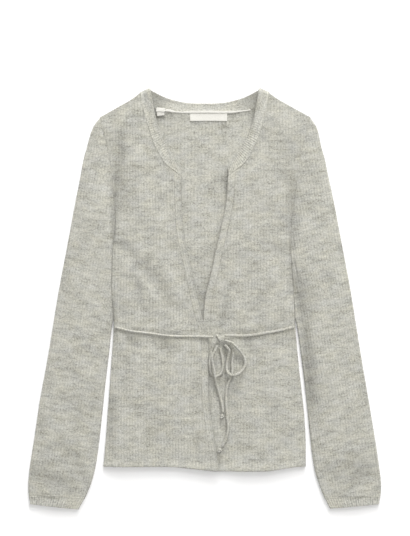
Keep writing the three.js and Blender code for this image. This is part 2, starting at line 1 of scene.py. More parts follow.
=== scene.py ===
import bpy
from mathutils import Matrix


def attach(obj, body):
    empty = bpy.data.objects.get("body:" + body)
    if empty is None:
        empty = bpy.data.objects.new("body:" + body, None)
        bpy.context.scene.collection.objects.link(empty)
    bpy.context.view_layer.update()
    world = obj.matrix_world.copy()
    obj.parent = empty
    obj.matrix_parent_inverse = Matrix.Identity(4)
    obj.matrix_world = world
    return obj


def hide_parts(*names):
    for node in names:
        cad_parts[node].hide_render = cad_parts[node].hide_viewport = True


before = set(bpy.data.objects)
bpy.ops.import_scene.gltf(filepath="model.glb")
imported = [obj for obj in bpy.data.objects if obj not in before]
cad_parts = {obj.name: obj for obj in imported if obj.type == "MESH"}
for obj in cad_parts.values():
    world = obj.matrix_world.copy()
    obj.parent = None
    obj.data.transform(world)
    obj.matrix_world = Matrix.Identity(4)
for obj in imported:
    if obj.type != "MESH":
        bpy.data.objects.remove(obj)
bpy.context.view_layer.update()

import math
from functools import partial

import bpy
import numpy as np
from mathutils import Vector

# A knitted tie-front cardigan, laid out flat on its back. Sizes here are millimetres, as in the
# part's source, and MM turns them into metres. "Away" is the distance from the middle line.
MM = 0.001

# Cloth and seams
WALL = 2.4
BAND_WALL = 2.6
SEAM_GAP = 0.3
LAYER_GAP = 0.4
UPPER = WALL + LAYER_GAP
OVERLAP = UPPER + WALL + 2 * SEAM_GAP
LEAST_LIFT = UPPER - 0.3
SEAM_ROUND = 0.7
SEAM_DEPTH = 0.45
EDGE_ROUND = 1.2
TUBE_ROUND = 2.6
BEAD_PLACE = 1.1

# How far the upper cloth stands up, and over what distance from its edges. FAR is past them all.
BODY_SWELL = 1.7
SLEEVE_SWELL = 2.6
CUFF_SWELL = 1.6
SWELL_REACH = 38
HEM_WAVE = 1.6
HEM_WAVE_REACH = 34
HEM_REST_X = -64
HEM_WAVE_LENGTH = 210
HEM_CURL = 1.4
HEM_CURL_REACH = 14
NECK_RISE = 1.3
COLLAR_STAND = 4.5
EDGE_LIFT_REACH = 22
FAR = 1000

# Heights of the laid-out garment along y
SHOULDER_TIP_Y = 281
ARMPIT_Y = 80
CUFF_SEAM_Y = -307
NECK_SEAM_Y = 189.5
HEM_Y = -264

# Rough sizes of the pieces, by which their points are spaced. From FRONT_CURVE up, a front's rows
# are closer together.
BODY_LENGTH = 560
FRONT_WIDTH = 150
FRONT_CURVE = 440
BACK_WIDTH = 306
HEM_REACH = 157
SLEEVE_LENGTH = 400
SLEEVE_WIDTH = 92
CUFF_LENGTH = 14.5
CUFF_WIDTH = 85
BAND_WIDTH = 15.5
STRIP_LENGTH = 465
FRONT_BAND = 11

# Knit: distance between wales and between courses, how far the wales stand up, the ribs on a cuff,
# and how far the sleeves' wales lean from y
BODY_WALE = 4.5
SLEEVE_WALE = 4.2
BACK_WALE = 5.2
BAND_WALE = 3.4
STRIP_WALE = FRONT_BAND / 3
WALE_HEIGHT = 0.12
BAND_WALE_HEIGHT = 0.45
COURSE = 2.3
CUFF_RIBS = 22
SLEEVE_LEAN = 0.158

# Shifts of the yarn's streaks, so that they differ from piece to piece
SLEEVE_SHIFT = 90
BACK_SHIFT = 900

# Tie cord, which rests on the cloth and draws a groove into it at the waist
YARN_CORD = 4.6
YARN_CLEAR = 0.15
LAYER_STEP = 4.9
CINCH = 1.3
CINCH_WIDTH = 4.2
CORD_STEP = 0.7
KNOT_STEP = 0.5
CORD_SIDES = 18
CORD_WALES = 4
CORD_WALE = 3.9
CORD_COURSE = 2.6

# Shares of painted shade in the cloth's colour in hollows, corners and beside edges, and of painted
# light in it below the cord
HOLLOW_SHADE = 0.11
NECK_CORNER_SHADE = 0.4
KNOT_SHADE = 0.42
ARMPIT_SHADE = 0.24
CORD_PAINTED_LIGHT = 0.3
CORD_PAINTED_LIGHT_REACH = 9

SIDES = {"right": -1, "left": 1}


def table(columns, rows):
    return dict(zip(columns, np.array(rows, float).T))


BODY_SIDE = table(["y", "right", "left"], [
    [-264, 157.2, 156.4],
    [-217, 153, 156.2],
    [-169, 149.4, 153],
    [-103, 144.6, 145.6],
    [-45, 141, 140.6],
    [17, 144.4, 137.4],
    [57, 143.8, 134.8],
    [80, 142.4, 133.6],
    [110, 139.4, 134.6],
    [141, 139.2, 137.2],
    [165, 141.6, 141],
    [200, 145.6, 145.6],
    [230, 150.4, 150.6],
    [255, 156, 157],
    [281, 162.2, 163.8],
])
FRONT_EDGE = table(["y", "right", "left"], [
    [-268, -22.2, 5.2],
    [-237, -18, 1],
    [-205, -13.2, -3],
    [-157, -7, -4.2],
    [-110, -6.3, -4.2],
    [-64, -5, -4],
    [-30, 3.4, -2.4],
    [5, 12, 1.6],
    [44, 20, 11],
    [76, 27.9, 17.6],
    [110, 33.2, 25.4],
    [145, 35.4, 32.6],
    [198, 36.8, 36.6],
])
SLEEVE_INNER = table(["y", "right", "left"], [
    [-309, 185.6, 186],
    [-288, 176.8, 177.5],
    [-262, 169.8, 170.2],
    [-224, 164, 164.8],
    [-169, 158, 159.2],
    [-122, 153, 154],
    [-84, 148.4, 149],
    [-45, 144.2, 143.6],
    [-15, 139, 136],
    [80, 130, 120],
])
SLEEVE_OUTER = table(["y", "right", "left"], [
    [-307, 272.6, 272.6],
    [-288, 273.6, 273.6],
    [-261, 271, 270.6],
    [-222, 265, 265],
    [-157, 255.3, 254.2],
    [-84, 242, 241.8],
    [14, 225.8, 226],
    [91, 211.2, 211.6],
    [149, 200.6, 200.6],
    [191, 192.2, 191.6],
    [218, 187.2, 186],
    [236, 182.2, 180.8],
    [253, 177.6, 177.4],
    [268, 172, 172.6],
    [281, 162.2, 163.8],
])
CUFF_END = {
    "right": [[195.8, -326.7], [270.6, -318.4]],
    "left": [[194.5, -325.4], [270.2, -318.4]],
}

# One row for each place along the right half of the neckband, from the front end to the middle of
# the back. Turn is how far it has folded over at the shoulder.
NECKBAND = table(["freeAway", "freeY", "seamAway", "seamY", "turn"], [
    [35.4, 204.2, 36.7, 189.5, 0],
    [42.3, 213.6, 48, 198.5, 0],
    [50, 224.4, 62, 210, 0],
    [57.8, 236.8, 72, 226, 0],
    [64.8, 249, 79.4, 241, 0],
    [71, 264.7, 85.8, 259, 0],
    [75.6, 280, 90.8, 276, 0],
    [78.7, 295.7, 94.6, 293, 0],
    [81.6, 311, 97.6, 306.5, 0],
    [83.8, 323.8, 99.2, 316.8, 0],
    [84.8, 325.8, 100.2, 319, 90],
    [83.8, 323.8, 99.2, 316.8, 180],
    [77, 320, 90.4, 304.6, 180],
    [66, 314.4, 76.4, 294.8, 180],
    [53.8, 309.7, 62, 291.6, 180],
    [38.3, 305.8, 44, 289.6, 180],
    [22.8, 303.6, 25, 289.4, 180],
    [0, 303, 0, 289.6, 180],
])
FRONT_ROWS = NECKBAND["turn"] == 0
NECK_SEAM = {"y": NECKBAND["seamY"][FRONT_ROWS], "away": NECKBAND["seamAway"][FRONT_ROWS]}
NECK_CORNER_Y = NECK_SEAM["y"][-1]
FRONT_BAND_TOP_Y = NECK_SEAM["y"][1]
STRIP_SHARE = (FRONT_BAND_TOP_Y - HEM_Y) / (NECK_CORNER_Y - HEM_Y)

# Broad folds of the upper cloth, which the solids have too. Negative heights are troughs.
FOLDS = table(["fromX", "fromY", "toX", "toY", "width", "height"], [
    [-103, 57, -54, -8, 12, -1.1],
    [-90, 66, -40, 2, 14, 0.9],
    [-139, 92, -112, 70, 12, -1],
    [-131, 254, -137, 145, 13, -0.8],
    [134, 192, 136, 92, 13, -0.8],
    [108, 76, 130, 76, 11, -0.8],
    [-167, 262, -158, 238, 12, 0.8],
    [170, 244, 160, 214, 12, 0.8],
    [152, 20, 166, -157, 12, -1.3],
    [-116, -60, -57, -66, 16, -0.7],
    [60, -60, 120, -50, 16, -0.7],
    [26, -26, 22, -50, 10, -0.5],
    [-232, -232, -196, -262, 16, -1],
    [236, -246, 204, -276, 15, -0.9],
])

# Finer creases of the upper cloth. Each fades out at its ends and bows sideways in its middle.
CREASES = table(["fromX", "fromY", "toX", "toY", "width", "height", "bow"], [
    [-143.5, 152, -141, 74, 5, -2, 0],
    [-144, 87, -116, 76, 6, -1.7, 2],
    [-134, 58, -112, 46, 5, 0.9, 2],
    [-108, 70, -48, -18, 5, -0.5, 6],
    [-90, 74, -34, -8, 8, 0.6, 6],
    [-106, 40, -72, -16, 7, 1, 3],
    [-124, 62, -94, -24, 6, -1, 4],
    [-136, 30, -122, -36, 7, -0.6, -2],
    [-134, 266, -137, 146, 8, -1.1, 3],
    [-138.5, 212, -139, 92, 4, -1.5, 0],
    [-118, 250, -110, 170, 12, 0.6, 2],
    [136, 214, 137, 84, 10, -1.3, 0],
    [128, 210, 118, 120, 12, 0.6, 0],
    [106, 78, 144, 81, 5, -1.6, 1.5],
    [104, 92, 136, 90, 6, 0.8, 1],
    [109, 66, 52, -38, 8, 1.3, 3],
    [84, 68, 50, -10, 6, -1, -3],
    [62, 46, 36, -34, 6, 0.8, 2],
    [40, 38, 22, -54, 6, -1.3, 2],
    [136, 62, 126, -10, 6, -0.9, 2],
    [124, 30, 100, -40, 7, 0.6, 2],
    [14, -26, 11, -54, 5, 0.5, 0],
    [22, -60, 38, -84, 5, -3.4, 0],
    [46, -84, 56, -104, 6, -0.8, 0],
    [-124, -46, -108, -84, 8, -1.2, 2],
    [-66, -48, -52, -92, 8, -1.2, -2],
    [-92, -50, -84, -96, 10, 0.6, 0],
    [62, -48, 74, -88, 8, -0.7, 2],
    [104, -46, 114, -84, 7, -0.6, -2],
    [-141, 24, -140, -62, 5, -2.6, 0],
    [-146, -118, -147, -244, 7, -1.9, 1],
    [-96, -120, -70, -236, 16, 0.5, 4],
    [70, -130, 92, -244, 16, 0.5, -4],
    [40, -110, 30, -200, 10, -0.5, 2],
    [134, 66, 154, -40, 6, -2.2, 0],
    [152, -40, 168, -206, 7, -2, 2],
    [182, -20, 192, -180, 12, 0.7, 2],
    [-160, -80, -176, -210, 8, -0.6, -2],
    [-222, -155, -182, -159, 5, -0.8, 2],
    [-216, -172, -188, -178, 6, 0.5, 1],
    [-198, -272, -166, -304, 5, -1.3, 2],
    [-190, -262, -164, -284, 5, 0.6, 2],
    [-274, -256, -216, -296, 13, -1.7, -3],
    [-250, -232, -212, -258, 9, 0.8, 3],
    [272, -252, 216, -288, 11, -1.8, 3],
    [246, -228, 200, -252, 8, 0.8, 0],
    [-204, 64, -162, 38, 7, -0.7, 3],
    [206, 44, 168, 22, 7, -0.6, -3],
    [-176, 150, -160, 96, 9, 0.5, 2],
])

# Creases pressed into the side that lies on the floor
UNDER_CREASES = table(["fromX", "fromY", "toX", "toY", "width", "height", "bow"], [
    [-110, 150, -20, 96, 7, -0.8, 6],
    [-96, 40, -14, 64, 6, -0.6, -5],
    [30, 180, 124, 120, 8, -0.9, -6],
    [20, 20, 118, -30, 7, -0.7, 5],
    [-124, -70, -20, -96, 8, -0.8, 4],
    [-10, -150, 116, -170, 7, -0.6, -5],
    [-130, -200, -40, -222, 6, -0.6, 4],
    [-238, -110, -172, -132, 7, -0.7, 3],
    [-226, 60, -160, 30, 7, -0.6, 3],
    [-262, -240, -186, -270, 6, -0.7, -3],
    [244, -60, 168, -92, 7, -0.7, 3],
    [218, 96, 156, 66, 7, -0.5, 3],
    [264, -222, 190, -250, 6, -0.7, 3],
])

# Slow unevenness of cloth that was smoothed by hand: wavelengths along x and y, height and phase
SWALES = table(["alongX", "alongY", "height", "phase"], [
    [97, 143, 0.30, 0.4],
    [-71, 88, 0.24, 2.1],
    [53, 61, 0.16, 4.4],
    [-38, 49, 0.10, 1.2],
    [29, -33, 0.07, 3.3],
])

# Places where a front's free edge stands up from what is under it
EDGE_LIFTS = {
    "right": table(["y", "reach", "height"], [[178, 20, 1.2], [60, 90, 1.4], [-236, 30, 0.8]]),
    "left": table(["y", "reach", "height"], [[180, 24, 4.2], [70, 80, 1.6]]),
}

# Loose fibres: how far they lie along and stand off the cloth, and how many more a rim has
NAP = {
    "length": (1.2, 4.2),
    "rise": (0.1, 1.1),
    "thick": 0.16,
    "tone": (0.8, 1.25),
    "rim": 5,
    "root": 0.1,
    "lowest": 0.05,
    "least_up": -0.2,
}

# How many fibres each piece has. Those of a cord are for each millimetre.
FIBRES = {
    "front": 40000,
    "strip": 2500,
    "sleeve": 42000,
    "cuff": 1500,
    "neckband": 7000,
    "back": 30000,
    "cord": 7,
}

# Stitches of a seam: their pitch, length and thickness
STITCHES = {
    "cuff": (2.1, 1.8, 0.7),
    "neck": (1.7, 1.5, 0.6),
    "tape": (2.4, 1.6, 0.32),
    "label": (2.2, 1.5, 0.3),
}

# Route of each stretch of the tie: x, y and how many cords lie under it
TIE_ROUTES = {
    "tie_waist_right": [
        [-139.6, -44, 0], [-115.8, -49.9, 0], [-84.8, -53.8, 0], [-53.8, -57.7, 0],
        [-22.8, -58.4, 0], [0.5, -58.6, 0.1], [13.6, -59.4, 0.4],
    ],
    "tie_waist_left": [
        [139.6, -43.4, 0], [116.7, -49.1, 0], [93.5, -53, 0], [62.5, -57.4, 0],
        [43, -56.4, 0.2], [30.6, -56.2, 0.5],
    ],
    "tie_loop_left": [
        [30.8, -64.2, 1], [42.2, -68.6, 1], [51.4, -77, 0.8], [59.6, -88, 0.2],
        [62.8, -100, 0], [57.8, -111, 0.3], [48, -117.4, 1], [39.2, -117, 1],
        [34.8, -110.4, 0.5], [34.6, -100.6, 0.3], [36.6, -89, 0.5], [38, -79.6, 1],
        [30.8, -70.8, 1.2],
    ],
    "tie_tail_left": [
        [36, -69, 0], [42.6, -76.4, 0], [44, -85, 0], [42.6, -97, 0],
        [42.8, -112, 0], [39, -125, 0], [34, -138, 0], [33.2, -160, 0],
        [34.8, -184, 0], [36.2, -202, 0], [32.4, -218, 0], [26.6, -229, 0],
    ],
    "tie_loop_right": [
        [16.4, -66.6, 0.3], [12, -76, 0], [9.2, -88, 0], [8, -102, 0],
        [9.6, -114.6, 0], [16.6, -120.4, 0], [24.4, -116.6, 0], [28.2, -106, 0],
        [27.8, -92, 0], [25.4, -82, 0], [23.4, -74.6, 0.2],
    ],
    "tie_tail_right": [
        [19.4, -71.8, 1.2], [15.6, -81, 1.3], [11.4, -89.4, 1.4], [12.2, -98, 1.4],
        [14.4, -110, 1.3], [15.8, -120.6, 1.2], [17.6, -131, 0.4], [21.4, -143, 0],
        [25.2, -157, 0], [27.8, -168, 0], [28, -176.6, 0],
    ],
}
KNOT = {"x": 22, "y": -61, "high": 7, "reach": 3.2, "rise": 0.7}
KNOT_STRANDS = table(["x", "y", "z", "heading", "thick"], [
    [0, 0, -0.4, -30, 6.4],
    [-1.4, 2, 0.4, 16, 3.8],
    [1.6, -1.8, 0.4, -44, 3.8],
])
KNOT_WRAP = {"heading": -60, "reach": 6.4, "rise": 4.2, "thick": 4.2}
END_KNOT = {"long": 8.4, "wide": 7.2, "high": 6.8, "thick": 3.4, "heading": 60}
END_KNOTS = {
    "tie_tail_left": ("tie_end_left", (23.6, -234.6)),
    "tie_tail_right": ("tie_end_right", (27.2, -182.2)),
}

# Small woven pieces at the back neck. A layer of the care tab has four corners, the height of its
# middle and how far its lower edge curls up.
LABEL_ROUND = 0.3
CARE_THICK = 0.5
TAPE = {"thick": 0.5, "wide": 3.6, "reach": 76, "round": 0.25}
LABEL = {"left": -22.8, "right": 34.6, "top": 287.4, "bottom": 275.6, "thick": 0.6}
CARE_LAYERS = [
    ("care_tab_weave", [(-73.6, 283.2), (-62.4, 284.6), (-75.0, 293.6), (-63.0, 294.0)], 4.4, 0.2),
    ("care_fold_weave", [(-75.4, 290.6), (-61.8, 289.6), (-74.6, 296.6), (-61.0, 295.6)], 5.3, 0.5),
    ("care_flap_weave", [(-60.8, 291.0), (-48.2, 288.8), (-60.4, 294.2), (-47.8, 292.4)], 4.6, 0.4),
]

# Yarn from dark to light, the two tints it wanders between, and the grain of what makes it uneven:
# millimetres across and along, detail, and where in the noise it is taken
YARN = [(0.254, 0.251, 0.219), (0.497, 0.494, 0.443), (0.640, 0.637, 0.574)]
COOL = (0.995, 0.995, 1.02, 1)
WARM = (1.02, 1.005, 0.97, 1)
GRAINS = {
    "streak": (19, 6.5, 1, 0),
    "cloud": (52, 30, 2, 11),
    "fleck": (3.0, 2.3, 2, 23),
    "hair": (1.0, 1.3, 2, 37),
    "breaks": (5, 9, 1, 51),
    "warmth": (24, 15, 2, 71),
}

# Camera, floor and lights, in metres and watts, but the camera's sensor in millimetres
SENSOR = 36
VIEW_HEIGHT = 0.8308
VIEW_MIDDLE = (0.0005, 0.0477)
CAMERA_HEIGHT = 3.0
CLOTH_LEVEL = 0.005
FLOOR_REACH = 4
FLOOR_DROP = 0.4 * MM
FLOOR_GLOW = 0.015
SKY = (1, 0.99, 0.97, 1)
SKY_STRENGTH = 0.32
LIGHTS = [
    ("overhead", (0.0, 0.05, 4.5), (1.5, 1.5), 70),
    ("key", (2.2, 4.4, 4.0), (3.2, 3.2), 189),
    ("low_fill", (0.3, 5.8, 1.9), (1.6, 2.6), 305),
]


def mix(a, b, t):
    return a + (b - a) * t


def ramp(distance, reach):
    t = np.clip(np.asarray(distance, float) / reach, 0, 1)
    return t * t * (3 - 2 * t)


def follow(rows, column, at):
    """Smooth value of one column of a table at places along its first column."""
    keys = next(iter(rows.values()))
    values = rows[column]
    last = len(keys) - 1
    before = np.maximum(np.arange(last + 1) - 1, 0)
    after = np.minimum(np.arange(last + 1) + 1, last)
    slopes = (values[after] - values[before]) / (keys[after] - keys[before])
    i = np.clip(np.searchsorted(keys[1:], at), 0, last - 1)
    span = keys[i + 1] - keys[i]
    t = (at - keys[i]) / span
    return ((2 * t**3 - 3 * t**2 + 1) * values[i] + (t**3 - 2 * t**2 + t) * span * slopes[i]
            + (3 * t**2 - 2 * t**3) * values[i + 1] + (t**3 - t**2) * span * slopes[i + 1])


def unit(rows):
    """Rows of vectors, each of them brought to length 1."""
    return rows / np.linalg.norm(rows, axis=1)[:, None]


def spline(points, at):
    """Points of a smooth curve through the given points, at places counted in points."""
    points = np.asarray(points, float)
    at = np.atleast_1d(np.asarray(at, float))
    ends = np.vstack([2 * points[0] - points[1], points, 2 * points[-1] - points[-2]])
    i = np.clip(np.floor(at).astype(int), 0, len(points) - 2)
    t = (at - i)[:, None]
    p0, p1, p2, p3 = (ends[i + k] for k in range(4))
    d0, d1, d2 = (
        np.sqrt(np.linalg.norm(b - a, axis=1))[:, None] for a, b in ((p0, p1), (p1, p2), (p2, p3))
    )
    start = ((p1 - p0) / d0 - (p2 - p0) / (d0 + d1) + (p2 - p1) / d1) * d1
    end = ((p2 - p1) / d1 - (p3 - p1) / (d1 + d2) + (p3 - p2) / d2) * d1
    return (p1 + start * t + (-3 * p1 + 3 * p2 - 2 * start - end) * t**2
            + (2 * p1 - 2 * p2 + start + end) * t**3)


def even_places(points, step):
    """Places along a spline that are about one step apart, and its length."""
    fine = np.linspace(0, len(points) - 1, 1500)
    line = spline(points, fine)
    lengths = np.concatenate([[0], np.cumsum(np.linalg.norm(np.diff(line, axis=0), axis=1))])
    count = max(2, round(lengths[-1] / step))
    return np.interp(np.linspace(0, lengths[-1], count + 1), lengths, fine), lengths[-1]


def spaced(length, step, round_off):
    """Shares from 0 to 1 along a length, closer together at both rims."""
    rim = round_off * np.array([0, 0.05, 0.2, 0.5, 1.0])
    inner = length - 2 * rim[-1]
    middle = rim[-1] + np.linspace(0, inner, max(2, round(inner / step)) + 1)
    return np.concatenate([rim[:-1], middle, (length - rim[:-1])[::-1]]) / length


def from_rim(share, length):
    """Distance from the nearer end of a length."""
    return np.minimum(share, 1 - share) * length


def rounded(distance, radius):
    """Share of a wall's half thickness at a distance from its rim."""
    return np.sqrt(1 - (1 - np.clip(distance / radius, 0, 1)) ** 2)


def soft_rim(share):
    """A seam's rim keeps most of its thickness, because its neighbour is sewn to it."""
    return np.where(share > 0, 0.8 + 0.2 * share, 0)


def ridge(phase):
    """Height of a wale across its width: 1 on top and 0 in the furrow beside it."""
    return 1 - np.abs(2 * (phase % 1) - 1) ** 2.2


def bell(distance, width):
    """A smooth bump, 1 in its middle."""
    return np.exp(-((distance / width) ** 2))


def shoulder_y(away):
    """Straight shoulder line from the shoulder tip to the neck's corner."""
    return mix(SHOULDER_TIP_Y, NECK_CORNER_Y, (162 - away) / (162 - 99.6))


def corner_rise(away):
    """The shoulder line turns up where it meets the folded neckband."""
    return 2.2 * bell(away - 100, 8)


def hem_y(x):
    """Hem line, which dips on the wearer's left."""
    dip = ramp(x + 60, 90) * (1 - ramp(x - 90, 60))
    return -260.4 - 7.0 * dip


def neck_rise(y):
    """How far the fronts rise toward the folded neckband."""
    return NECK_RISE * ramp(y - 215, 70)


def fold_height(x, y):
    height = 0
    for x0, y0, x1, y1, width, peak in zip(*FOLDS.values()):
        dx, dy = x1 - x0, y1 - y0
        t = np.clip(((x - x0) * dx + (y - y0) * dy) / (dx**2 + dy**2), 0, 1)
        distance = np.hypot(x - x0 - t * dx, y - y0 - t * dy)
        height = height + peak * bell(distance, width)
    return height


def crease_height(creases, x, y):
    height = 0
    for x0, y0, x1, y1, width, peak, bow in zip(*creases.values()):
        length = math.hypot(x1 - x0, y1 - y0)
        along = ((x - x0) * (x1 - x0) + (y - y0) * (y1 - y0)) / length**2
        across = ((y - y0) * (x1 - x0) - (x - x0) * (y1 - y0)) / length
        fade = 4 * np.clip(along, 0, 1) * (1 - np.clip(along, 0, 1))
        height = height + peak * fade * bell(across - bow * fade, width * (0.6 + 0.4 * fade))
    return height


def hollow(x, y):
    """Painted shade: a factor that darkens the cloth's colour at the bottom of a crease and under the
    knot.
    """
    depth = np.clip(-crease_height(CREASES, x, y) - fold_height(x, y), 0, 3.2)
    under_knot = bell(x - 31, 4.2) * bell(y + 74, 7.5)
    return (1 - HOLLOW_SHADE * depth) * (1 - KNOT_SHADE * under_knot)


def painted_shade_beside(distance, share, reach):
    """Painted shade beside a higher edge: a factor that darkens the cloth's colour, less at a greater
    distance from that edge.
    """
    return 1 - share * np.exp(-np.maximum(distance, 0) / reach)


def above_waist_cord(x, y):
    """Distance up from the middle of the waist cord."""
    waist = np.array([row[:2] for side in SIDES for row in TIE_ROUTES[f"tie_waist_{side}"]])
    waist = waist[np.argsort(waist[:, 0])]
    return y - np.interp(x, waist[:, 0], waist[:, 1])


def painted_light_below_cord(x, y):
    """Painted light: a factor that brightens the cloth's colour just below the waist cord, where the
    cord's shadow falls.
    """
    below = -above_waist_cord(x, y)
    near = np.exp(-np.maximum(below - 3, 0) / CORD_PAINTED_LIGHT_REACH) * ramp(below, 3)
    return 1 + CORD_PAINTED_LIGHT * near * (1 - ramp(np.abs(x) - 132, 6))


def cinch(x, y):
    """Groove that the waist cord draws into the cloth, with the cloth bulging beside it."""
    from_cord = above_waist_cord(x, y)
    uneven = 0.8 + 0.2 * np.sin(x / 8.3) + 0.12 * np.sin(x / 3.7)
    groove = -CINCH * bell(from_cord, CINCH_WIDTH)
    bulge = 0.4 * bell(np.abs(from_cord) - 8, 4)
    return (groove + bulge * uneven) * (1 - ramp(np.abs(x) - 136, 6))


def drape(x, y):
    """Fine creases and slow swales of the upper cloth."""
    height = crease_height(CREASES, x, y) + cinch(x, y)
    for along_x, along_y, peak, phase in zip(*SWALES.values()):
        height = height + peak * np.sin(2 * math.pi * (x / along_x + y / along_y) + phase)
    return height


def edge_away(side, y):
    """How far away a front's middle edge is, straight up from where the neck seam begins."""
    return follow(FRONT_EDGE, side, np.minimum(y, NECK_SEAM_Y))


def overlap_lift(away, y):
    """Underside of the right front where it climbs over the edge of the left one."""
    covered = -edge_away("left", y)
    climb = 1 - ramp(away - covered - 3, 26)
    return UPPER + (OVERLAP - UPPER) * climb * (1 - ramp(y + 28, 60))


def front_distances(side, away, y):
    """Distances on a front from its side, its middle edge and the neck seam, FAR below the neck."""
    from_side = follow(BODY_SIDE, side, np.minimum(y, SHOULDER_TIP_Y)) - away
    from_middle = away - edge_away(side, y)
    seam = follow(NECK_SEAM, "away", np.clip(y, NECK_SEAM_Y, NECK_CORNER_Y))
    return from_side, from_middle, np.where(y > NECK_SEAM_Y, away - seam, FAR)


def front_lift(side, away, y):
    """Underside of a front above the floor, as in the solids."""
    x = SIDES[side] * away
    from_side, from_middle, from_neck = front_distances(side, away, y)
    flat_strip = 30 if side == "left" else 6
    spread = (ramp(from_side, SWELL_REACH) * ramp(from_middle - flat_strip, SWELL_REACH)
              * ramp(from_neck, SWELL_REACH) * ramp(shoulder_y(away) - y, SWELL_REACH))
    wave = 0.5 - 0.5 * np.cos(2 * math.pi * (x - HEM_REST_X) / HEM_WAVE_LENGTH)
    hem = HEM_WAVE * wave * (1 - ramp(y - hem_y(x), HEM_WAVE_REACH)) * ramp(from_side, 20)
    edge_fade = ramp(from_side, 12) * ramp(from_middle, 16)
    folds = fold_height(x, y)
    swell = (BODY_SWELL + folds) * spread + folds * edge_fade * (1 - spread)
    cloth = UPPER + np.maximum(0, swell + hem * ramp(from_middle - flat_strip, 20)) + neck_rise(y)
    return cloth if side == "left" else np.maximum(cloth, overlap_lift(away, y))


def front_cloth(side, away, y):
    """Underside of a front with its fine creases and its lifted edge."""
    x = SIDES[side] * away
    from_side, from_middle, from_neck = front_distances(side, away, y)
    calm = 0.35 + 0.65 * ramp(from_middle, 30) * ramp(y - hem_y(x), 10)
    calm = calm * (0.1 + 0.9 * ramp(from_neck, 16))
    lift = front_lift(side, away, y) + drape(x, y) * calm * (0.2 + 0.8 * ramp(from_side, 8))
    lowest = LEAST_LIFT
    if side == "right":
        lowest = np.maximum(LEAST_LIFT, overlap_lift(away, y) - 0.3)
    near = 1 - ramp(from_middle, EDGE_LIFT_REACH)
    lifted = 0
    for place, reach, height in zip(*EDGE_LIFTS[side].values()):
        lifted = lifted + height * bell(y - place, reach) * near
    curl = HEM_CURL * (1 - ramp(y - hem_y(x), HEM_CURL_REACH)) ** 2 * ramp(from_side, 12)
    return np.maximum(lift, lowest) + lifted + curl


def new_object(name, data):
    item = bpy.data.objects.new(name, data)
    bpy.context.scene.collection.objects.link(item)
    return item


def make(name, points, faces, cloth, fabric, stands_for=None):
    """A smooth mesh from points in millimetres, which rides on the only body."""
    corners = np.array([face[:3] for face in faces])
    a, b, c = (points[corners[:, k]] for k in range(3))
    if np.einsum("ij,ij->i", a, np.cross(b, c)).sum() < 0:
        faces = [face[::-1] for face in faces]
    mesh = bpy.data.meshes.new(name)
    mesh.from_pydata(points * MM, [], faces)
    place = mesh.attributes.new("cloth", "FLOAT_VECTOR", "POINT")
    place.data.foreach_set("vector", np.ascontiguousarray(cloth[:, :3]).ravel())
    # The light attribute holds painted light and shade, which the knit materials multiply into their
    # colour.
    light = mesh.attributes.new("light", "FLOAT", "POINT")
    light.data.foreach_set("value", np.ascontiguousarray(cloth[:, 3]))
    mesh.shade_smooth()
    material, slot = fabric
    mesh.materials.append(material)
    piece = new_object(name, mesh)
    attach(piece, "root")
    if stands_for:
        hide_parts(stands_for)
    return piece


def quads_between(rows):
    """Faces of a grid of point numbers."""
    return np.stack([rows[:-1, :-1], rows[:-1, 1:], rows[1:, 1:], rows[1:, :-1]], -1).reshape(-1, 4)


def capped_tube(rings):
    """Faces of a tube of point numbers, closed at both ends."""
    faces = quads_between(np.hstack([rings, rings[:, :1]])).tolist()
    return faces + [rings[0][::-1].tolist(), rings[-1].tolist()]


def shell(name, upper, lower, cloth, fabric, stands_for=None):
    """A closed wall between two grids of points that share their border."""
    rows, columns = upper.shape[:2]
    top = np.arange(rows * columns).reshape(rows, columns)
    bottom = top.copy()
    inside = (rows - 2) * (columns - 2)
    bottom[1:-1, 1:-1] = rows * columns + np.arange(inside).reshape(rows - 2, columns - 2)
    points = np.vstack([upper.reshape(-1, 3), lower[1:-1, 1:-1].reshape(-1, 3)])
    places = np.vstack([cloth.reshape(-1, 4), cloth[1:-1, 1:-1].reshape(-1, 4)])
    faces = np.vstack([quads_between(top), quads_between(bottom)[:, ::-1]]).tolist()
    return make(name, points, faces, places, fabric, stands_for)


def tube(name, outer, inner, outer_cloth, inner_cloth, fabric, stands_for):
    """An open tube with a wall, from rows of outer and inner rings."""
    rings = np.concatenate([outer, inner[::-1]])
    cloth = np.concatenate([outer_cloth, inner_cloth[::-1]])
    count, sides = rings.shape[:2]
    numbers = np.arange(count * sides).reshape(count, sides)
    numbers = np.vstack([numbers, numbers[:1]])
    numbers = np.hstack([numbers, numbers[:, :1]])
    faces = quads_between(numbers).tolist()
    return make(name, rings.reshape(-1, 3), faces, cloth.reshape(-1, 4), fabric, stands_for)


def grid(*parts):
    return np.stack(np.broadcast_arrays(*parts), -1).astype(float)


def read(mesh, attribute, kind, columns):
    """Values of a mesh's attribute, one row a point."""
    values = np.empty(columns * len(mesh.vertices))
    mesh.attributes[attribute].data.foreach_get(kind, values)
    return values.reshape(-1, columns)


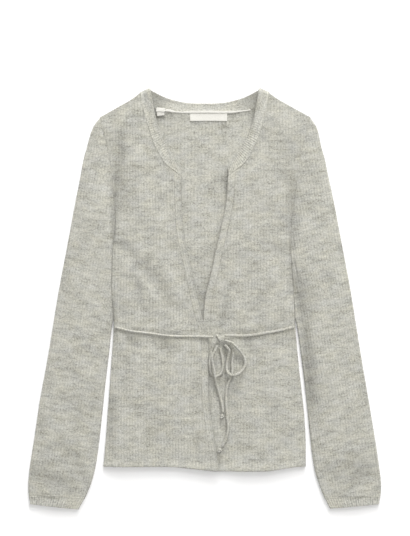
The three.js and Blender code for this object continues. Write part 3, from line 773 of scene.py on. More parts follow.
def nap(piece, count, fabric):
    """Loose fibres that stand out of a piece's cloth, more of them at its rims."""
    mesh = piece.data
    quads = np.array([face.vertices[:] for face in mesh.polygons if len(face.vertices) == 4])
    place = read(mesh, "cloth", "vector", 3)
    light = read(mesh, "light", "value", 1)[:, 0]
    corners = (read(mesh, "position", "vector", 3) / MM)[quads]
    normal = np.cross(corners[:, 2] - corners[:, 0], corners[:, 3] - corners[:, 1])
    area = np.linalg.norm(normal, axis=1) + 1e-9
    normal = normal / area[:, None]
    upward = normal[:, 2]
    weight = np.where(upward > NAP["least_up"], area * (1 + NAP["rim"] * (1 - np.abs(upward))), 0)

    chance = np.random.default_rng(len(piece.name) + count)
    chosen = chance.choice(len(quads), count, p=weight / weight.sum())
    across, along = chance.random((2, count, 1))
    root = mix(mix(corners[chosen, 0], corners[chosen, 1], across),
               mix(corners[chosen, 3], corners[chosen, 2], across), along)
    normal = normal[chosen]
    lean = unit(np.cross(normal, chance.normal(size=(count, 3))))
    length = chance.uniform(*NAP["length"], (count, 1))
    rise = chance.uniform(*NAP["rise"], (count, 1))
    side = np.cross(normal, lean) * NAP["thick"] / 2
    root = root - NAP["root"] * normal
    tip = root + length * lean + rise * normal
    fibres = np.stack([root - side, root + side, tip], 1).reshape(-1, 3)
    fibres[:, 2] = np.maximum(fibres[:, 2], NAP["lowest"])
    first = quads[chosen, 0]
    # Each fibre takes the painted light and shade of the cloth where it grows, times a random tone.
    tone = light[first] * chance.uniform(*NAP["tone"], count)
    cloth = np.column_stack([place[first], tone]).repeat(3, axis=0)
    faces = np.arange(3 * count).reshape(-1, 3).tolist()
    make(f"{piece.name}_nap", fibres, faces, cloth, fabric)


def stitches(name, line, kind, fabric, tone=1.0):
    """Sewn stitches along a line of points on the cloth, each one a small spindle."""
    pitch, long, thick = STITCHES[kind]
    centres = spline(line, even_places(line, pitch)[0])
    across, up = frames(centres)
    heading = np.cross(across, up)
    share = np.array([-0.98, -0.7, -0.25, 0.25, 0.7, 0.98])
    angle = np.linspace(0, 2 * math.pi, 8, endpoint=False)
    radius = thick / 2 * np.sqrt(1 - share**2)
    ring = np.cos(angle)[:, None] * across[:, None, None] + np.sin(angle)[:, None] * up[:, None, None]
    points = centres[:, None, None] + radius[:, None, None] * ring
    points = points + (share * long / 2)[:, None, None] * heading[:, None, None]
    faces = []
    for rings in np.arange(points[..., 0].size).reshape(-1, len(share), len(angle)):
        faces += capped_tube(rings)
    points = points.reshape(-1, 3)
    return make(name, points, faces, grid(points[:, 0], points[:, 1], 0, tone), fabric)


def frames(line):
    """Two directions across a line at each of its points, turning as little as they can."""
    tangents = unit(np.gradient(line, axis=0))
    side = np.cross(tangents[0], (0, 0, 1))
    if np.linalg.norm(side) < 0.1:
        side = np.array([1.0, 0, 0])
    sides = []
    for tangent in tangents:
        side = side - tangent * side.dot(tangent)
        side = side / np.linalg.norm(side)
        sides.append(side)
    sides = np.array(sides)
    return sides, np.cross(tangents, sides)


def knitted_cord(name, points, diameter, stands_for=None, step=CORD_STEP):
    """A round knitted cord along a spline, with rows of stitches round it."""
    places, length = even_places(points, step)
    line = spline(points, places)
    along = np.linspace(0, length, len(line))[:, None]
    angle = np.linspace(0, 2 * math.pi, CORD_SIDES, endpoint=False)[None, :]
    lean = np.abs(2 * ((CORD_WALES * angle / (2 * math.pi)) % 1) - 1)
    stitch = 0.5 + 0.5 * np.sin(2 * math.pi * (along / CORD_COURSE - 0.5 * lean))
    furrow = 1 - lean**3
    ends = rounded(np.minimum(along, length - along) + 0.02, diameter / 2)
    radius = diameter / 2 * ends * (0.9 + 0.1 * stitch * furrow + 0.02 * np.sin(along / 7.3))
    across, up = frames(line)
    ring = np.cos(angle)[..., None] * across[:, None] + np.sin(angle)[..., None] * up[:, None]
    points = line[:, None] + radius[..., None] * ring
    faces = capped_tube(np.arange(len(line) * CORD_SIDES).reshape(-1, CORD_SIDES))
    cloth = grid(angle * diameter / 2, along, 1, 1)
    return make(name, points.reshape(-1, 3), faces, cloth.reshape(-1, 4), CORD_KNIT, stands_for)


def add(tree, kind, inputs=(), **settings):
    """A new node. An input that is a socket is linked, and any other value is set."""
    node = tree.nodes.new(kind)
    for key, value in settings.items():
        setattr(node, key, value)
    for key, value in dict(inputs).items():
        if isinstance(value, bpy.types.NodeSocket):
            tree.links.new(value, node.inputs[key])
        else:
            node.inputs[key].default_value = value
    return node


def calc(tree, operation, *values):
    return add(tree, "ShaderNodeMath", enumerate(values), operation=operation).outputs[0]


def noise(tree, place, across, along, detail, offset):
    """Noise between 0 and 1 with the given grain in millimetres."""
    scaled = add(tree, "ShaderNodeVectorMath",
                 {0: place, 1: (1 / across, 1 / along, 0), 2: (offset, offset, offset)},
                 operation="MULTIPLY_ADD").outputs[0]
    return add(tree, "ShaderNodeTexNoise",
               {"Vector": scaled, "Scale": 1, "Detail": detail, "Roughness": 0.6}).outputs["Fac"]


def mixed(tree, factor, a, b, blend="MIX"):
    """Colour between two colours, or one colour filtered by another."""
    return add(tree, "ShaderNodeMix", {"Factor": factor, "A": a, "B": b},
               data_type="RGBA", blend_type=blend).outputs["Result"]


def add_bump(tree, shader, height, distance):
    bump = add(tree, "ShaderNodeBump", {"Height": height, "Distance": distance * MM, "Strength": 1.0})
    tree.links.new(bump.outputs["Normal"], shader.inputs["Normal"])


def new_material(name, values):
    """A material, its node tree and its shader, which has the given values on its own sockets."""
    material = bpy.data.materials.new(name)
    material.use_nodes = True
    shader = material.node_tree.nodes["Principled BSDF"]
    for key, value in values.items():
        shader.inputs[key].default_value = value
    return material, material.node_tree, shader


def cloth_material(name, sheen):
    """A cloth's material, its node tree, its shader and the place on the cloth in millimetres."""
    material, tree, shader = new_material(name, {
        "Roughness": 0.92,
        "Specular IOR Level": 0.15,
        "Sheen Weight": sheen,
        "Sheen Roughness": 0.55,
    })
    place = add(tree, "ShaderNodeAttribute", attribute_name="cloth").outputs["Vector"]
    return material, tree, shader, place


def knit(name, slot, tones, wale, course, mottle=1.0, furrow=0.16):
    """Brushed melange knit: wales with stitches in them, cross streaks of two yarns and nap. Its
    colour has painted shade in the furrows between wales and the painted light and shade of the light
    attribute.
    """
    material, tree, shader, place = cloth_material(name, 0.3)
    times = partial(calc, tree, "MULTIPLY")
    times_plus = partial(calc, tree, "MULTIPLY_ADD")
    across, along, height = add(tree, "ShaderNodeSeparateXYZ", {0: place}).outputs
    streak, cloud, fleck, hair, breaks, warmth = (noise(tree, place, *row) for row in GRAINS.values())

    tone = 0.5
    for grain, share in ((streak, 0.86 * mottle), (cloud, 0.5 * mottle), (fleck, 1.6), (hair, 1.5)):
        tone = times_plus(calc(tree, "SUBTRACT", grain, 0.5), share, tone)
    yarns = add(tree, "ShaderNodeValToRGB", {"Fac": tone})
    stops = yarns.color_ramp.elements
    stops[0].color = (*tones[0], 1)
    stops[1].color = (*tones[2], 1)
    stops.new(0.52).color = (*tones[1], 1)

    # Painted shade: the colour darkens in the furrows between wales, by furrow, and is multiplied by
    # the light attribute's painted light and shade
    share = calc(tree, "FRACT", times(across, 1 / wale))
    lean = calc(tree, "ABSOLUTE", times_plus(share, 2.0, -1.0))
    hollow = times(calc(tree, "POWER", lean, 3.0), height)
    broken = calc(tree, "MAXIMUM", times_plus(breaks, 3.0, -0.9), 0.0)
    light = add(tree, "ShaderNodeAttribute", attribute_name="light").outputs["Fac"]
    shade = times(times_plus(times(hollow, broken), -furrow, 1.0), light)
    grey = add(tree, "ShaderNodeCombineColor", {0: shade, 1: shade, 2: shade}).outputs[0]
    hue = mixed(tree, times_plus(warmth, 3.0, -1.0), COOL, WARM)
    colour = yarns.outputs["Color"]
    for layer in (grey, hue):
        colour = mixed(tree, 1.0, colour, layer, "MULTIPLY")
    tree.links.new(colour, shader.inputs["Base Color"])

    turn = times_plus(lean, 0.6, times(along, 1 / course))
    stitch = calc(tree, "SINE", times(turn, 2 * math.pi))
    fuzz = times_plus(hair, 2.2, times(fleck, 1.6))
    add_bump(tree, shader, times_plus(hollow, -1.0, times_plus(stitch, 0.25, fuzz)), 0.25)
    tree.links.new(times_plus(hair, 0.12, 0.86), shader.inputs["Roughness"])
    return material, slot


def weave(name, slot, colour, shadow, pitch):
    """Plain woven tape: threads over and under each other."""
    material, tree, shader, place = cloth_material(name, 0.1)
    times = partial(calc, tree, "MULTIPLY")
    times_plus = partial(calc, tree, "MULTIPLY_ADD")
    across, along, _ = add(tree, "ShaderNodeSeparateXYZ", {0: place}).outputs
    warp, weft = (calc(tree, "SINE", times(way, 2 * math.pi / pitch)) for way in (across, along))
    threads = times_plus(times(warp, weft), 0.5, 0.5)
    slub = noise(tree, place, 6, 0.8, 2, 5)
    tone = times_plus(threads, 0.35, times(slub, 0.8))
    tree.links.new(mixed(tree, tone, shadow, colour), shader.inputs["Base Color"])
    add_bump(tree, shader, threads, 0.08)
    return material, slot


def yarn(factor):
    return [tuple(factor * part for part in tone) for tone in YARN]


# Fabrics: each one's material, paired with the name of a slot in the record
BODY_KNIT = knit("body_knit", "melange_knit", yarn(1.0), BODY_WALE, COURSE)
SLEEVE_KNIT = knit("sleeve_knit", "melange_knit", yarn(1.0), SLEEVE_WALE, COURSE)
BACK_KNIT = knit("back_knit", "melange_knit", yarn(1.0), BACK_WALE, COURSE)
STRIP_KNIT = (BODY_KNIT[0], "rib_knit")
RIB_KNIT = knit("rib_knit", "rib_knit", yarn(1.13), BAND_WALE, 2.0, 0.7, 0.44)
CORD_KNIT = knit("cord_knit", "tie_yarn", yarn(1.05), CORD_WALE, CORD_COURSE, 0.5, 0.3)
WHITE_WEAVE = weave("white_weave", "white_weave", (0.80, 0.79, 0.74, 1), (0.62, 0.605, 0.55, 1), 0.55)


def make_camera():
    data = bpy.data.cameras.new("camera")
    data.sensor_width = SENSOR
    data.lens = SENSOR * CAMERA_HEIGHT / VIEW_HEIGHT
    camera = new_object("camera", data)
    camera.location = (*VIEW_MIDDLE, CAMERA_HEIGHT + CLOTH_LEVEL)
    bpy.context.scene.camera = camera


def make_floor():
    mesh = bpy.data.meshes.new("floor")
    corners = [(-1, -1, 0), (1, -1, 0), (1, 1, 0), (-1, 1, 0)]
    mesh.from_pydata(np.array(corners) * FLOOR_REACH, [], [(0, 1, 2, 3)])
    material = new_material("floor_paper", {
        "Base Color": (1, 1, 1, 1),
        "Roughness": 1,
        "Specular IOR Level": 0,
        "Emission Color": (1, 1, 1, 1),
        "Emission Strength": FLOOR_GLOW,
    })[0]
    mesh.materials.append(material)
    floor = new_object("floor", mesh)
    floor.location.z = -FLOOR_DROP


def make_lights():
    world = bpy.data.worlds.new("studio")
    world.use_nodes = True
    background = world.node_tree.nodes["Background"]
    background.inputs["Color"].default_value = SKY
    background.inputs["Strength"].default_value = SKY_STRENGTH
    bpy.context.scene.world = world
    for name, place, size, watts in LIGHTS:
        data = bpy.data.lights.new(name, "AREA")
        data.shape = "RECTANGLE"
        data.size, data.size_y = size
        data.energy = watts
        light = new_object(name, data)
        light.location = place
        light.rotation_euler = (-Vector(place)).to_track_quat("-Z", "Y").to_euler()
    bpy.context.scene.view_settings.view_transform = "Standard"


def cloth_top(x, y):
    """Top of the highest cloth at some places, above the floor."""
    tops = [np.full_like(x, WALL)]
    for side, sign in SIDES.items():
        away = sign * x
        top = front_cloth(side, away, y) + WALL
        tops.append(np.where(away >= follow(FRONT_EDGE, side, y), top, 0))
    return np.max(tops, axis=0)


def resting_z(x, y, high):
    """Middle of something of this height that rests on the cloth."""
    return float(cloth_top(np.array([x]), np.array([y]))[0]) + YARN_CLEAR + high / 2


def tie_points(name):
    """Route of a stretch of the tie, over the highest cloth within its own radius."""
    x, y, level = np.array(TIE_ROUTES[name], float).T
    reach = YARN_CORD / 2
    steps = [(0, 0), (-reach, 0), (reach, 0), (0, -reach), (0, reach)]
    top = np.max([cloth_top(x + dx, y + dy) for dx, dy in steps], axis=0)
    return grid(x, y, top + YARN_CLEAR + YARN_CORD / 2 + level * LAYER_STEP)


def arch(x, y, z, heading, angles, reach, rise):
    """Points of a strand that bends over a place."""
    angle, turn = np.radians(angles), math.radians(heading)
    along = reach * np.cos(angle)
    return grid(x + along * math.cos(turn), y + along * math.sin(turn), z + rise * np.sin(angle))


def make_knot():
    """Three bent strands drawn together, and one that binds them."""
    x, y = KNOT["x"], KNOT["y"]
    z = resting_z(x, y, KNOT["high"])
    for k, (dx, dy, dz, heading, thick) in enumerate(zip(*KNOT_STRANDS.values())):
        points = arch(x + dx, y + dy, z + dz, heading, np.linspace(200, -20, 6),
                      KNOT["reach"], KNOT["rise"])
        knitted_cord(f"knot_strand_{k + 1}", points, thick, None if k else "tie_knot", KNOT_STEP)
    points = arch(x, y, z, KNOT_WRAP["heading"], np.linspace(8, 172, 7), KNOT_WRAP["reach"],
                  KNOT_WRAP["rise"])
    knitted_cord("knot_wrap", points, KNOT_WRAP["thick"], "tie_knot_wrap", KNOT_STEP)


def end_knot(name, x, y):
    """A small overhand knot, drawn tight."""
    thick = END_KNOT["thick"]
    t = np.linspace(0.25, 2 * math.pi - 0.15, 22)
    trefoil = grid(np.sin(t) + 2 * np.sin(2 * t), np.cos(t) - 2 * np.cos(2 * t), -np.sin(3 * t))
    size = np.array([END_KNOT["long"], END_KNOT["wide"], END_KNOT["high"]])
    along, across, up = (trefoil * ((size - thick) / [6, 6, 2])).T
    turn = math.radians(END_KNOT["heading"])
    points = grid(x + along * math.cos(turn) - across * math.sin(turn),
                  y + along * math.sin(turn) + across * math.cos(turn),
                  resting_z(x, y, END_KNOT["high"]) + up)
    return knitted_cord(f"{name}_knot", points, thick, name, KNOT_STEP)


def make_tie():
    ends = {tail: end_knot(end, *place) for tail, (end, place) in END_KNOTS.items()}
    for name in TIE_ROUTES:
        points = tie_points(name)
        places, length = even_places(points, 4)
        cord = knitted_cord(f"{name}_cord", points, YARN_CORD, name)
        nap(cord, round(FIBRES["cord"] * length), CORD_KNIT)
    make_knot()


def front_inner(side, v):
    """Edge of a front toward the middle: the edge strip's seam, then the neckband's."""
    hem = hem_y(SIDES[side] * (follow(FRONT_EDGE, side, HEM_Y) + FRONT_BAND))
    y = mix(hem, FRONT_BAND_TOP_Y, np.minimum(v / STRIP_SHARE, 1))
    away = follow(FRONT_EDGE, side, y) + FRONT_BAND
    last = np.count_nonzero(FRONT_ROWS) - 1
    seam = spline(SEAM_LINE, mix(1, last, np.clip((v - STRIP_SHARE) / (1 - STRIP_SHARE), 0, 1)))
    in_strip = v < STRIP_SHARE
    return np.where(in_strip, away, -seam[:, 0]), np.where(in_strip, y, seam[:, 1])


def front_outer(side, v):
    """Edge of a front along the body's side, up to the shoulder tip."""
    hem = hem_y(SIDES[side] * follow(BODY_SIDE, side, HEM_Y))
    y = mix(hem, SHOULDER_TIP_Y, v)
    return body_gap(side, y), y


def front_rows():
    """Rows of a front from hem to shoulder, closer together where its inner edge follows the neck."""
    rows = spaced(BODY_LENGTH, 1.0, EDGE_ROUND)
    up = rows * BODY_LENGTH
    step = np.where(up > FRONT_CURVE, 1.5, 3.6)
    kept = [0]
    for i in range(1, len(rows)):
        near_rim = min(up[i], BODY_LENGTH - up[i]) < 1.5 * EDGE_ROUND
        if near_rim or up[i] - up[kept[-1]] >= step[i] - 0.01:
            kept.append(i)
    return rows[kept]


def front_panel(side):
    """Front from side to edge strip, its inner edge sunk where it is sewn to the strip and band."""
    v = front_rows()[:, None]
    u = spaced(FRONT_WIDTH, BODY_WALE / 5, SEAM_ROUND)[None, :]
    outer_away, outer_y = (a[:, None] for a in front_outer(side, v[:, 0]))
    inner_away, inner_y = (a[:, None] for a in front_inner(side, v[:, 0]))
    away = mix(outer_away, inner_away, u)
    x = SIDES[side] * away
    y = mix(outer_y, inner_y, u)
    y = y + (hem_y(x) - mix(outer_y[0], inner_y[0], u)) * (1 - ramp(v, 0.12))
    y = y + corner_rise(away) * ramp(v - 0.95, 0.05)

    width = outer_away - inner_away
    from_outer, from_inner = u * width, (1 - u) * width
    from_top = (1 - v) * (NECK_CORNER_Y - HEM_Y)
    seam = rounded(from_rim(u, width), SEAM_ROUND) * rounded(from_top, SEAM_ROUND)
    unsewn = 1 - ramp(outer_y - ARMPIT_Y + 10, 20)
    neck_end = 1 - ramp(np.abs(inner_y - 196) - 5, 12)
    strip_end = ramp(inner_y + 60, 30) * (1 - ramp(inner_y - 192, 8))
    valley = (SEAM_DEPTH + 0.9 * unsewn) * (1 - rounded(from_outer, 2.4))
    valley = valley + 0.5 * SEAM_DEPTH * (1 - rounded(from_top, 2.0))
    valley = valley + (0.7 * neck_end + 0.25 * strip_end) * (1 - rounded(from_inner, 1.8))
    half = WALL / 2 * soft_rim(seam) * rounded(v * BODY_LENGTH, EDGE_ROUND)
    warp = 0.22 * np.sin(y / 67 + x / 31) + 0.12 * np.sin(y / 29 - x / 44)
    wales = ridge(x / BODY_WALE + warp)
    middle = front_cloth(side, away, y) + WALL / 2
    upper = grid(x, y, middle + half - valley - WALE_HEIGHT * (1 - wales) * seam)
    lower = grid(x, y, middle - half)
    # Painted light and shade in the colour: darker in creases, under the knot, along the side near
    # the armpit, beside the right front's edge and at the strip's seam, and lighter below the waist
    # cord
    beside_sleeve = ARMPIT_SHADE * ramp(y - 20, 30) * (1 - ramp(y - 125, 25))
    light = hollow(x, y) * painted_light_below_cord(x, y) * painted_shade_beside(from_outer, beside_sleeve, 1.6)
    if side == "left":
        from_top_edge = x + edge_away("right", y)
        light = light * painted_shade_beside(from_top_edge, 0.16 * (1 - ramp(y + 40, 20)), 2.4)
        light = light * painted_shade_beside(from_inner, 0.05 * strip_end, 1.5)
    cloth = grid(x + warp * BODY_WALE, y, 1, light)
    piece = shell(f"front_{side}_knit", upper, lower, cloth, BODY_KNIT, f"front_{side}")
    nap(piece, FIBRES["front"], BODY_KNIT)


def front_strip(side):
    """Edge strip with lengthwise wales and a free edge that rolls up a little."""
    v = spaced(STRIP_LENGTH, 3.2, EDGE_ROUND)
    u = spaced(FRONT_BAND, 0.45, SEAM_ROUND)[None, :]
    just_inside = 0.99999
    seam_away, seam_y = front_inner(side, v * STRIP_SHARE * just_inside)
    edge_y = mix(hem_y(SIDES[side] * follow(FRONT_EDGE, side, HEM_Y)), NECK_SEAM_Y, v)
    away = mix(seam_away[:, None], follow(FRONT_EDGE, side, edge_y)[:, None], u)
    y = mix(seam_y[:, None], edge_y[:, None], u)
    x = SIDES[side] * away
    from_edge = (1 - u) * FRONT_BAND
    from_end = from_rim(v, STRIP_LENGTH)[:, None]
    rim = rounded(from_edge, EDGE_ROUND) * rounded(from_end, EDGE_ROUND)
    half = soft_rim(rounded(u * FRONT_BAND, SEAM_ROUND)) * rim
    roll = 0.15 * bell(from_edge - 1.6, 1.7)
    wales = ridge(from_edge / STRIP_WALE)
    middle = front_cloth(side, away, y) + WALL / 2
    upper = grid(x, y, middle + WALL / 2 * half + (roll - 0.2 * (1 - wales)) * rim)
    lower = grid(x, y, middle - WALL / 2 * half)
    # Painted shade in the colour: darker along the right strip's free edge and in creases.
    rim_painted_shade = painted_shade_beside(from_edge, 0.26 if side == "right" else 0.0, 1.5)
    cloth = grid(from_edge * BODY_WALE / STRIP_WALE, y, 0.6, hollow(x, y) * rim_painted_shade)
    node = f"front_band_{side}"
    piece = shell(f"{node}_knit", upper, lower, cloth, STRIP_KNIT, node)
    nap(piece, FIBRES["strip"], STRIP_KNIT)


def body_gap(side, y):
    """Where the body's side ends and the sleeve may begin."""
    return follow(BODY_SIDE, side, y) + SEAM_GAP / 2


def sleeve_place(side, u, v):
    """Place on a sleeve: u from the body's side to the outer fold, v from the cuff up."""
    inner_y = mix(CUFF_SEAM_Y, ARMPIT_Y, v)
    outer_y = mix(CUFF_SEAM_Y + 1.5, SHOULDER_TIP_Y, v)
    inner = np.maximum(follow(SLEEVE_INNER, side, inner_y), body_gap(side, inner_y))
    outer = follow(SLEEVE_OUTER, side, outer_y)
    armhole_y = mix(ARMPIT_Y, SHOULDER_TIP_Y, u)
    straight = mix(body_gap(side, ARMPIT_Y), body_gap(side, SHOULDER_TIP_Y), u)
    bow = (body_gap(side, armhole_y) - straight) * v**4
    return mix(inner, outer, u) + bow, mix(inner_y, outer_y, u)


def ring_of(top, bottom):
    """A closed ring from a top row and a bottom row that meet at both ends."""
    return np.concatenate([top, bottom[:, -2:0:-1]], axis=1)


def flat_tube(node, x, y, u, lift, wales, height, cloth, fabric):
    """A flattened tube of cloth for a node, from grids of its upper half."""
    from_edge = from_rim(u, tube_width(x, y))

    def profile(distance, low, high):
        share = rounded(distance, TUBE_ROUND)
        middle = (UPPER + WALL) / 2
        return mix(middle, high, share), mix(middle, low, share)

    fall = height * (1 - wales) * rounded(from_edge, TUBE_ROUND)
    top, bottom = profile(from_edge, 0, lift + WALL)
    under = np.maximum(-crease_height(UNDER_CREASES, x, y), 0) * ramp(from_edge, 10)
    outer = ring_of(grid(x, y, top - fall), grid(x, y, bottom + fall + under))
    centre = 0.5 * (x[:, :1] + x[:, -1:])
    inset = np.where(from_edge < WALL, np.sign(centre - x) * (WALL - from_edge), 0)
    top, bottom = profile(np.maximum(from_edge - WALL, 0), WALL, lift)
    inner = ring_of(grid(x + inset, y, top), grid(x + inset, y, bottom))
    both = ring_of(cloth, cloth)
    rows = np.unique(np.concatenate([np.arange(0, len(x), 6), [len(x) - 1]]))
    return tube(f"{node}_knit", outer, inner[rows], both, both[rows], fabric, node)


def tube_width(x, y):
    """Width of each row of a flat tube."""
    return np.hypot(x[:, -1:] - x[:, :1], y[:, -1:] - y[:, :1])


def make_sleeve(side):
    """Sleeve as a flat tube, whose wales run along it."""
    v = spaced(SLEEVE_LENGTH, 4.4, EDGE_ROUND)[:, None]
    u = spaced(SLEEVE_WIDTH, SLEEVE_WALE / 7, TUBE_ROUND)[None, :]
    away, y = sleeve_place(side, u, v)
    x = SIDES[side] * away
    from_edge = from_rim(u, tube_width(x, y))
    from_cuff = v * (ARMPIT_Y - CUFF_SEAM_Y)
    from_armhole = (1 - v) * (ARMPIT_Y - CUFF_SEAM_Y)
    swell = SLEEVE_SWELL * ramp(from_edge, SWELL_REACH) * ramp(from_armhole, SWELL_REACH)
    folds = fold_height(x, y) * ramp(from_edge, 10) * ramp(from_armhole, 10)
    fine = drape(x, y) * ramp(from_edge, 6) * (0.2 + 0.8 * ramp(from_armhole, 8))
    lift = UPPER + np.maximum(-0.2, swell + folds + fine) + neck_rise(y) * ramp(60 - from_armhole, 60)
    lift = lift - SEAM_DEPTH * (1 - rounded(from_armhole, 2.2)) - 0.12 * (1 - rounded(from_cuff, 1.5))

    lean = math.hypot(1, SLEEVE_LEAN)
    across = (away + SLEEVE_LEAN * y) / lean
    along = (y - SLEEVE_LEAN * away) / lean
    warp = 0.2 * np.sin(along / 61 + across / 27) + 0.1 * np.sin(along / 26)
    wales = ridge(across / SLEEVE_WALE + warp)
    # The light value is painted shade, darker in the sleeve's creases.
    cloth = grid(across + warp * SLEEVE_WALE, along + SLEEVE_SHIFT * SIDES[side], 1, hollow(x, y))
    piece = flat_tube(f"sleeve_{side}", x, y, u, lift, wales, WALE_HEIGHT, cloth, SLEEVE_KNIT)
    nap(piece, FIBRES["sleeve"], SLEEVE_KNIT)


def make_cuff(side):
    """Ribbed cuff band, with a bead of stitches along its seam."""
    seam_away, seam_y = sleeve_place(side, np.array([0, 1]), np.array([0, 0]))
    start = np.stack([seam_away, seam_y], -1)
    end = np.array(CUFF_END[side])
    v = spaced(CUFF_LENGTH, 1.1, SEAM_ROUND)[:, None]
    u = spaced(CUFF_WIDTH, BAND_WALE / 8, TUBE_ROUND)[None, :]
    first, last = (mix(start[k], end[k], v) for k in (0, 1))
    x = SIDES[side] * mix(first[:, :1], last[:, :1], u)
    y = mix(first[:, 1:], last[:, 1:], u)
    from_edge = from_rim(u, tube_width(x, y))
    from_seam = v * CUFF_LENGTH
    ends = rounded(from_seam, SEAM_ROUND) * rounded((1 - v) * CUFF_LENGTH, EDGE_ROUND)
    bead = 0.55 * bell(from_seam - BEAD_PLACE, 0.8)
    lift = UPPER + CUFF_SWELL * ramp(from_edge, SWELL_REACH) - 0.3 * (1 - ends) + bead
    wales = ridge(u * CUFF_RIBS)
    cloth = grid(u * CUFF_RIBS * BAND_WALE, -v * CUFF_LENGTH, 1, 1)
    piece = flat_tube(f"cuff_{side}", x, y, u, lift, wales, BAND_WALE_HEIGHT, cloth, RIB_KNIT)
    nap(piece, FIBRES["cuff"], RIB_KNIT)
    row = np.argmin(np.abs(from_seam - BEAD_PLACE))
    line = grid(x[row], y[row], lift[row] + WALL)[from_edge[row] > 3][::6]
    stitches(f"cuff_{side}_stitches", line, "cuff", RIB_KNIT, 1.2)


def both_halves(away, y):
    """A line through a column pair of the neckband's table, from the right front to the left one."""
    half = np.stack([-NECKBAND[away], NECKBAND[y], band_height()], -1)
    other = half[-2::-1] * [-1, 1, 1]
    return np.vstack([half, other])


def band_height():
    """Middle of the neckband's wall: on the fronts' level, and on the floor behind the neck."""
    front = UPPER + neck_rise(NECKBAND["seamY"]) + BAND_WALL / 2
    return mix(BAND_WALL / 2, front, 0.5 + 0.5 * np.cos(np.radians(NECKBAND["turn"])))


FREE_LINE = both_halves("freeAway", "freeY")
SEAM_LINE = both_halves("seamAway", "seamY")
BAND_TURN = np.concatenate([NECKBAND["turn"], NECKBAND["turn"][-2::-1]])
BACK_SEAM_ENDS = np.flatnonzero(BAND_TURN == 180)[[0, -1]]
BACK_SEAM = spline(SEAM_LINE, np.linspace(*BACK_SEAM_ENDS, 400))


def neckband():
    """Ribbed band round the neck, which folds over at the shoulders."""
    middle = (FREE_LINE + SEAM_LINE) / 2
    at, length = even_places(middle, BAND_WALE / 6)
    free, seam = spline(FREE_LINE, at), spline(SEAM_LINE, at)
    free_y = free[:, 1:2]
    on_right = free[:, :1] < 0
    turn = np.radians(np.interp(at, np.arange(len(BAND_TURN)), BAND_TURN))[:, None]
    across = unit((seam - free) * [1, 1, 0])
    outward = np.stack([-across[:, 1], across[:, 0], 0 * across[:, 0]], -1)
    outward *= np.where(outward[:, 1:2] < 0, -1, 1)
    face = np.cos(turn) * [0, 0, 1] + np.sin(turn) * outward
    facing_up = np.cos(turn / 2) ** 2

    u = spaced(BAND_WIDTH, 0.9, SEAM_ROUND)[None, :]
    wide = np.linalg.norm(seam - free, axis=1)[:, None]
    from_free, from_seam = u * wide, (1 - u) * wide
    along = np.linspace(0, length, len(at))[:, None]
    body = rounded(from_free, EDGE_ROUND + 0.1) * soft_rim(rounded(from_seam, SEAM_ROUND))
    body = body * rounded(np.minimum(along, length - along), SEAM_ROUND)
    shown = 0.35 + 0.65 * facing_up
    away_from_fold = 1 - 0.7 * ramp(free_y - 250, 45)
    shown = shown * away_from_fold * np.where(on_right, 0.75, 1)
    from_front = 0.3 + 0.7 * (1 - ramp(free_y - 215, 25)) * (turn == 0)
    from_front = from_front * np.where(on_right, 0.35, 1)
    ribs = BAND_WALE_HEIGHT * shown * (ridge(along / BAND_WALE) - 0.3) * ramp(from_free, 1.6)
    roll = 0.1 * bell(from_free - 1.7, 1.6)
    bead = 0.6 * from_front * bell(from_seam - 1.7, 0.9)
    relief = ribs * rounded(from_seam, 1.6) + roll + bead
    points = free[:, None] + (seam - free)[:, None] * u[..., None]
    stand = COLLAR_STAND * ramp(free_y - 262, 60) * facing_up
    points[..., 2] += stand * (1 - ramp(from_free, 15))
    up = face[:, 2]
    raised = BAND_WALL / 2 * body + relief * np.maximum(up, 0)[:, None] * body
    sunk = BAND_WALL / 2 * body + relief * np.maximum(-up, 0)[:, None] * body
    upper = points + face[:, None] * raised[..., None]
    lower = points - face[:, None] * sunk[..., None]
    for surface in (upper, lower):
        surface[..., 2] = np.maximum(surface[..., 2], 0)
    # Painted shade in the colour: darker inside the band near the neck's corners and beside its free
    # edge; shown sets how strongly its furrows are shaded.
    inside = (turn > 3) * ramp(np.abs(free[:, :1]) - 40, 36)
    light = (1 - NECK_CORNER_SHADE * inside) * painted_shade_beside(from_free, 0.24, 1.6)
    cloth = grid(along, from_free, shown, light)
    piece = shell("neckband_knit", upper, lower, cloth, RIB_KNIT, "neckband")
    nap(piece, FIBRES["neckband"], RIB_KNIT)
    seam_row = np.argmin(np.abs((1 - u) * BAND_WIDTH - 1.8))
    for side, part in (("right", slice(6, None)), ("left", slice(None, -6))):
        line = upper[part, seam_row]
        line = line[(line[:, 1] < 285) & (SIDES[side] * line[:, 0] > 0)]
        line = line[line[:, 2] > 3][::8]
        stitches(f"neck_seam_{side}_stitches", line, "neck", RIB_KNIT, 1.15)


def back_top_y(x):
    """Shoulders and neck seam of the back, from side to side."""
    order = np.argsort(BACK_SEAM[:, 0])
    neck = np.interp(x, BACK_SEAM[order, 0], BACK_SEAM[order, 1])
    away = np.abs(x)
    return np.where(away > NECK_SEAM["away"][-1], shoulder_y(away) + corner_rise(away) - 0.4, neck)


def back_painted_shade(x, y):
    """Painted shade on the inside of the back: its colour darker beside the fronts' edges, toward the
    hem and under the neck's corners.
    """
    from_left = edge_away("left", y) - x
    from_right = x + edge_away("right", y)
    deep = bell(y - 183, 16)
    low = bell(y - 4, 16)
    share = (0.15 + 0.3 * deep + 0.17 * low) * (1 - ramp(y - 196, 14))
    light = painted_shade_beside(from_left, share, 4.5 + 3 * deep + 6 * low)
    light = light * (1 - 0.08 * (1 - ramp(y - 20, 90)))
    light = light * painted_shade_beside(from_right, 0.05 + 0.2 * bell(y - 176, 8), 3)
    corner = ramp(np.abs(x) - 56, 26) * ramp(y - 262, 26)
    return light * (1 - NECK_CORNER_SHADE * corner)


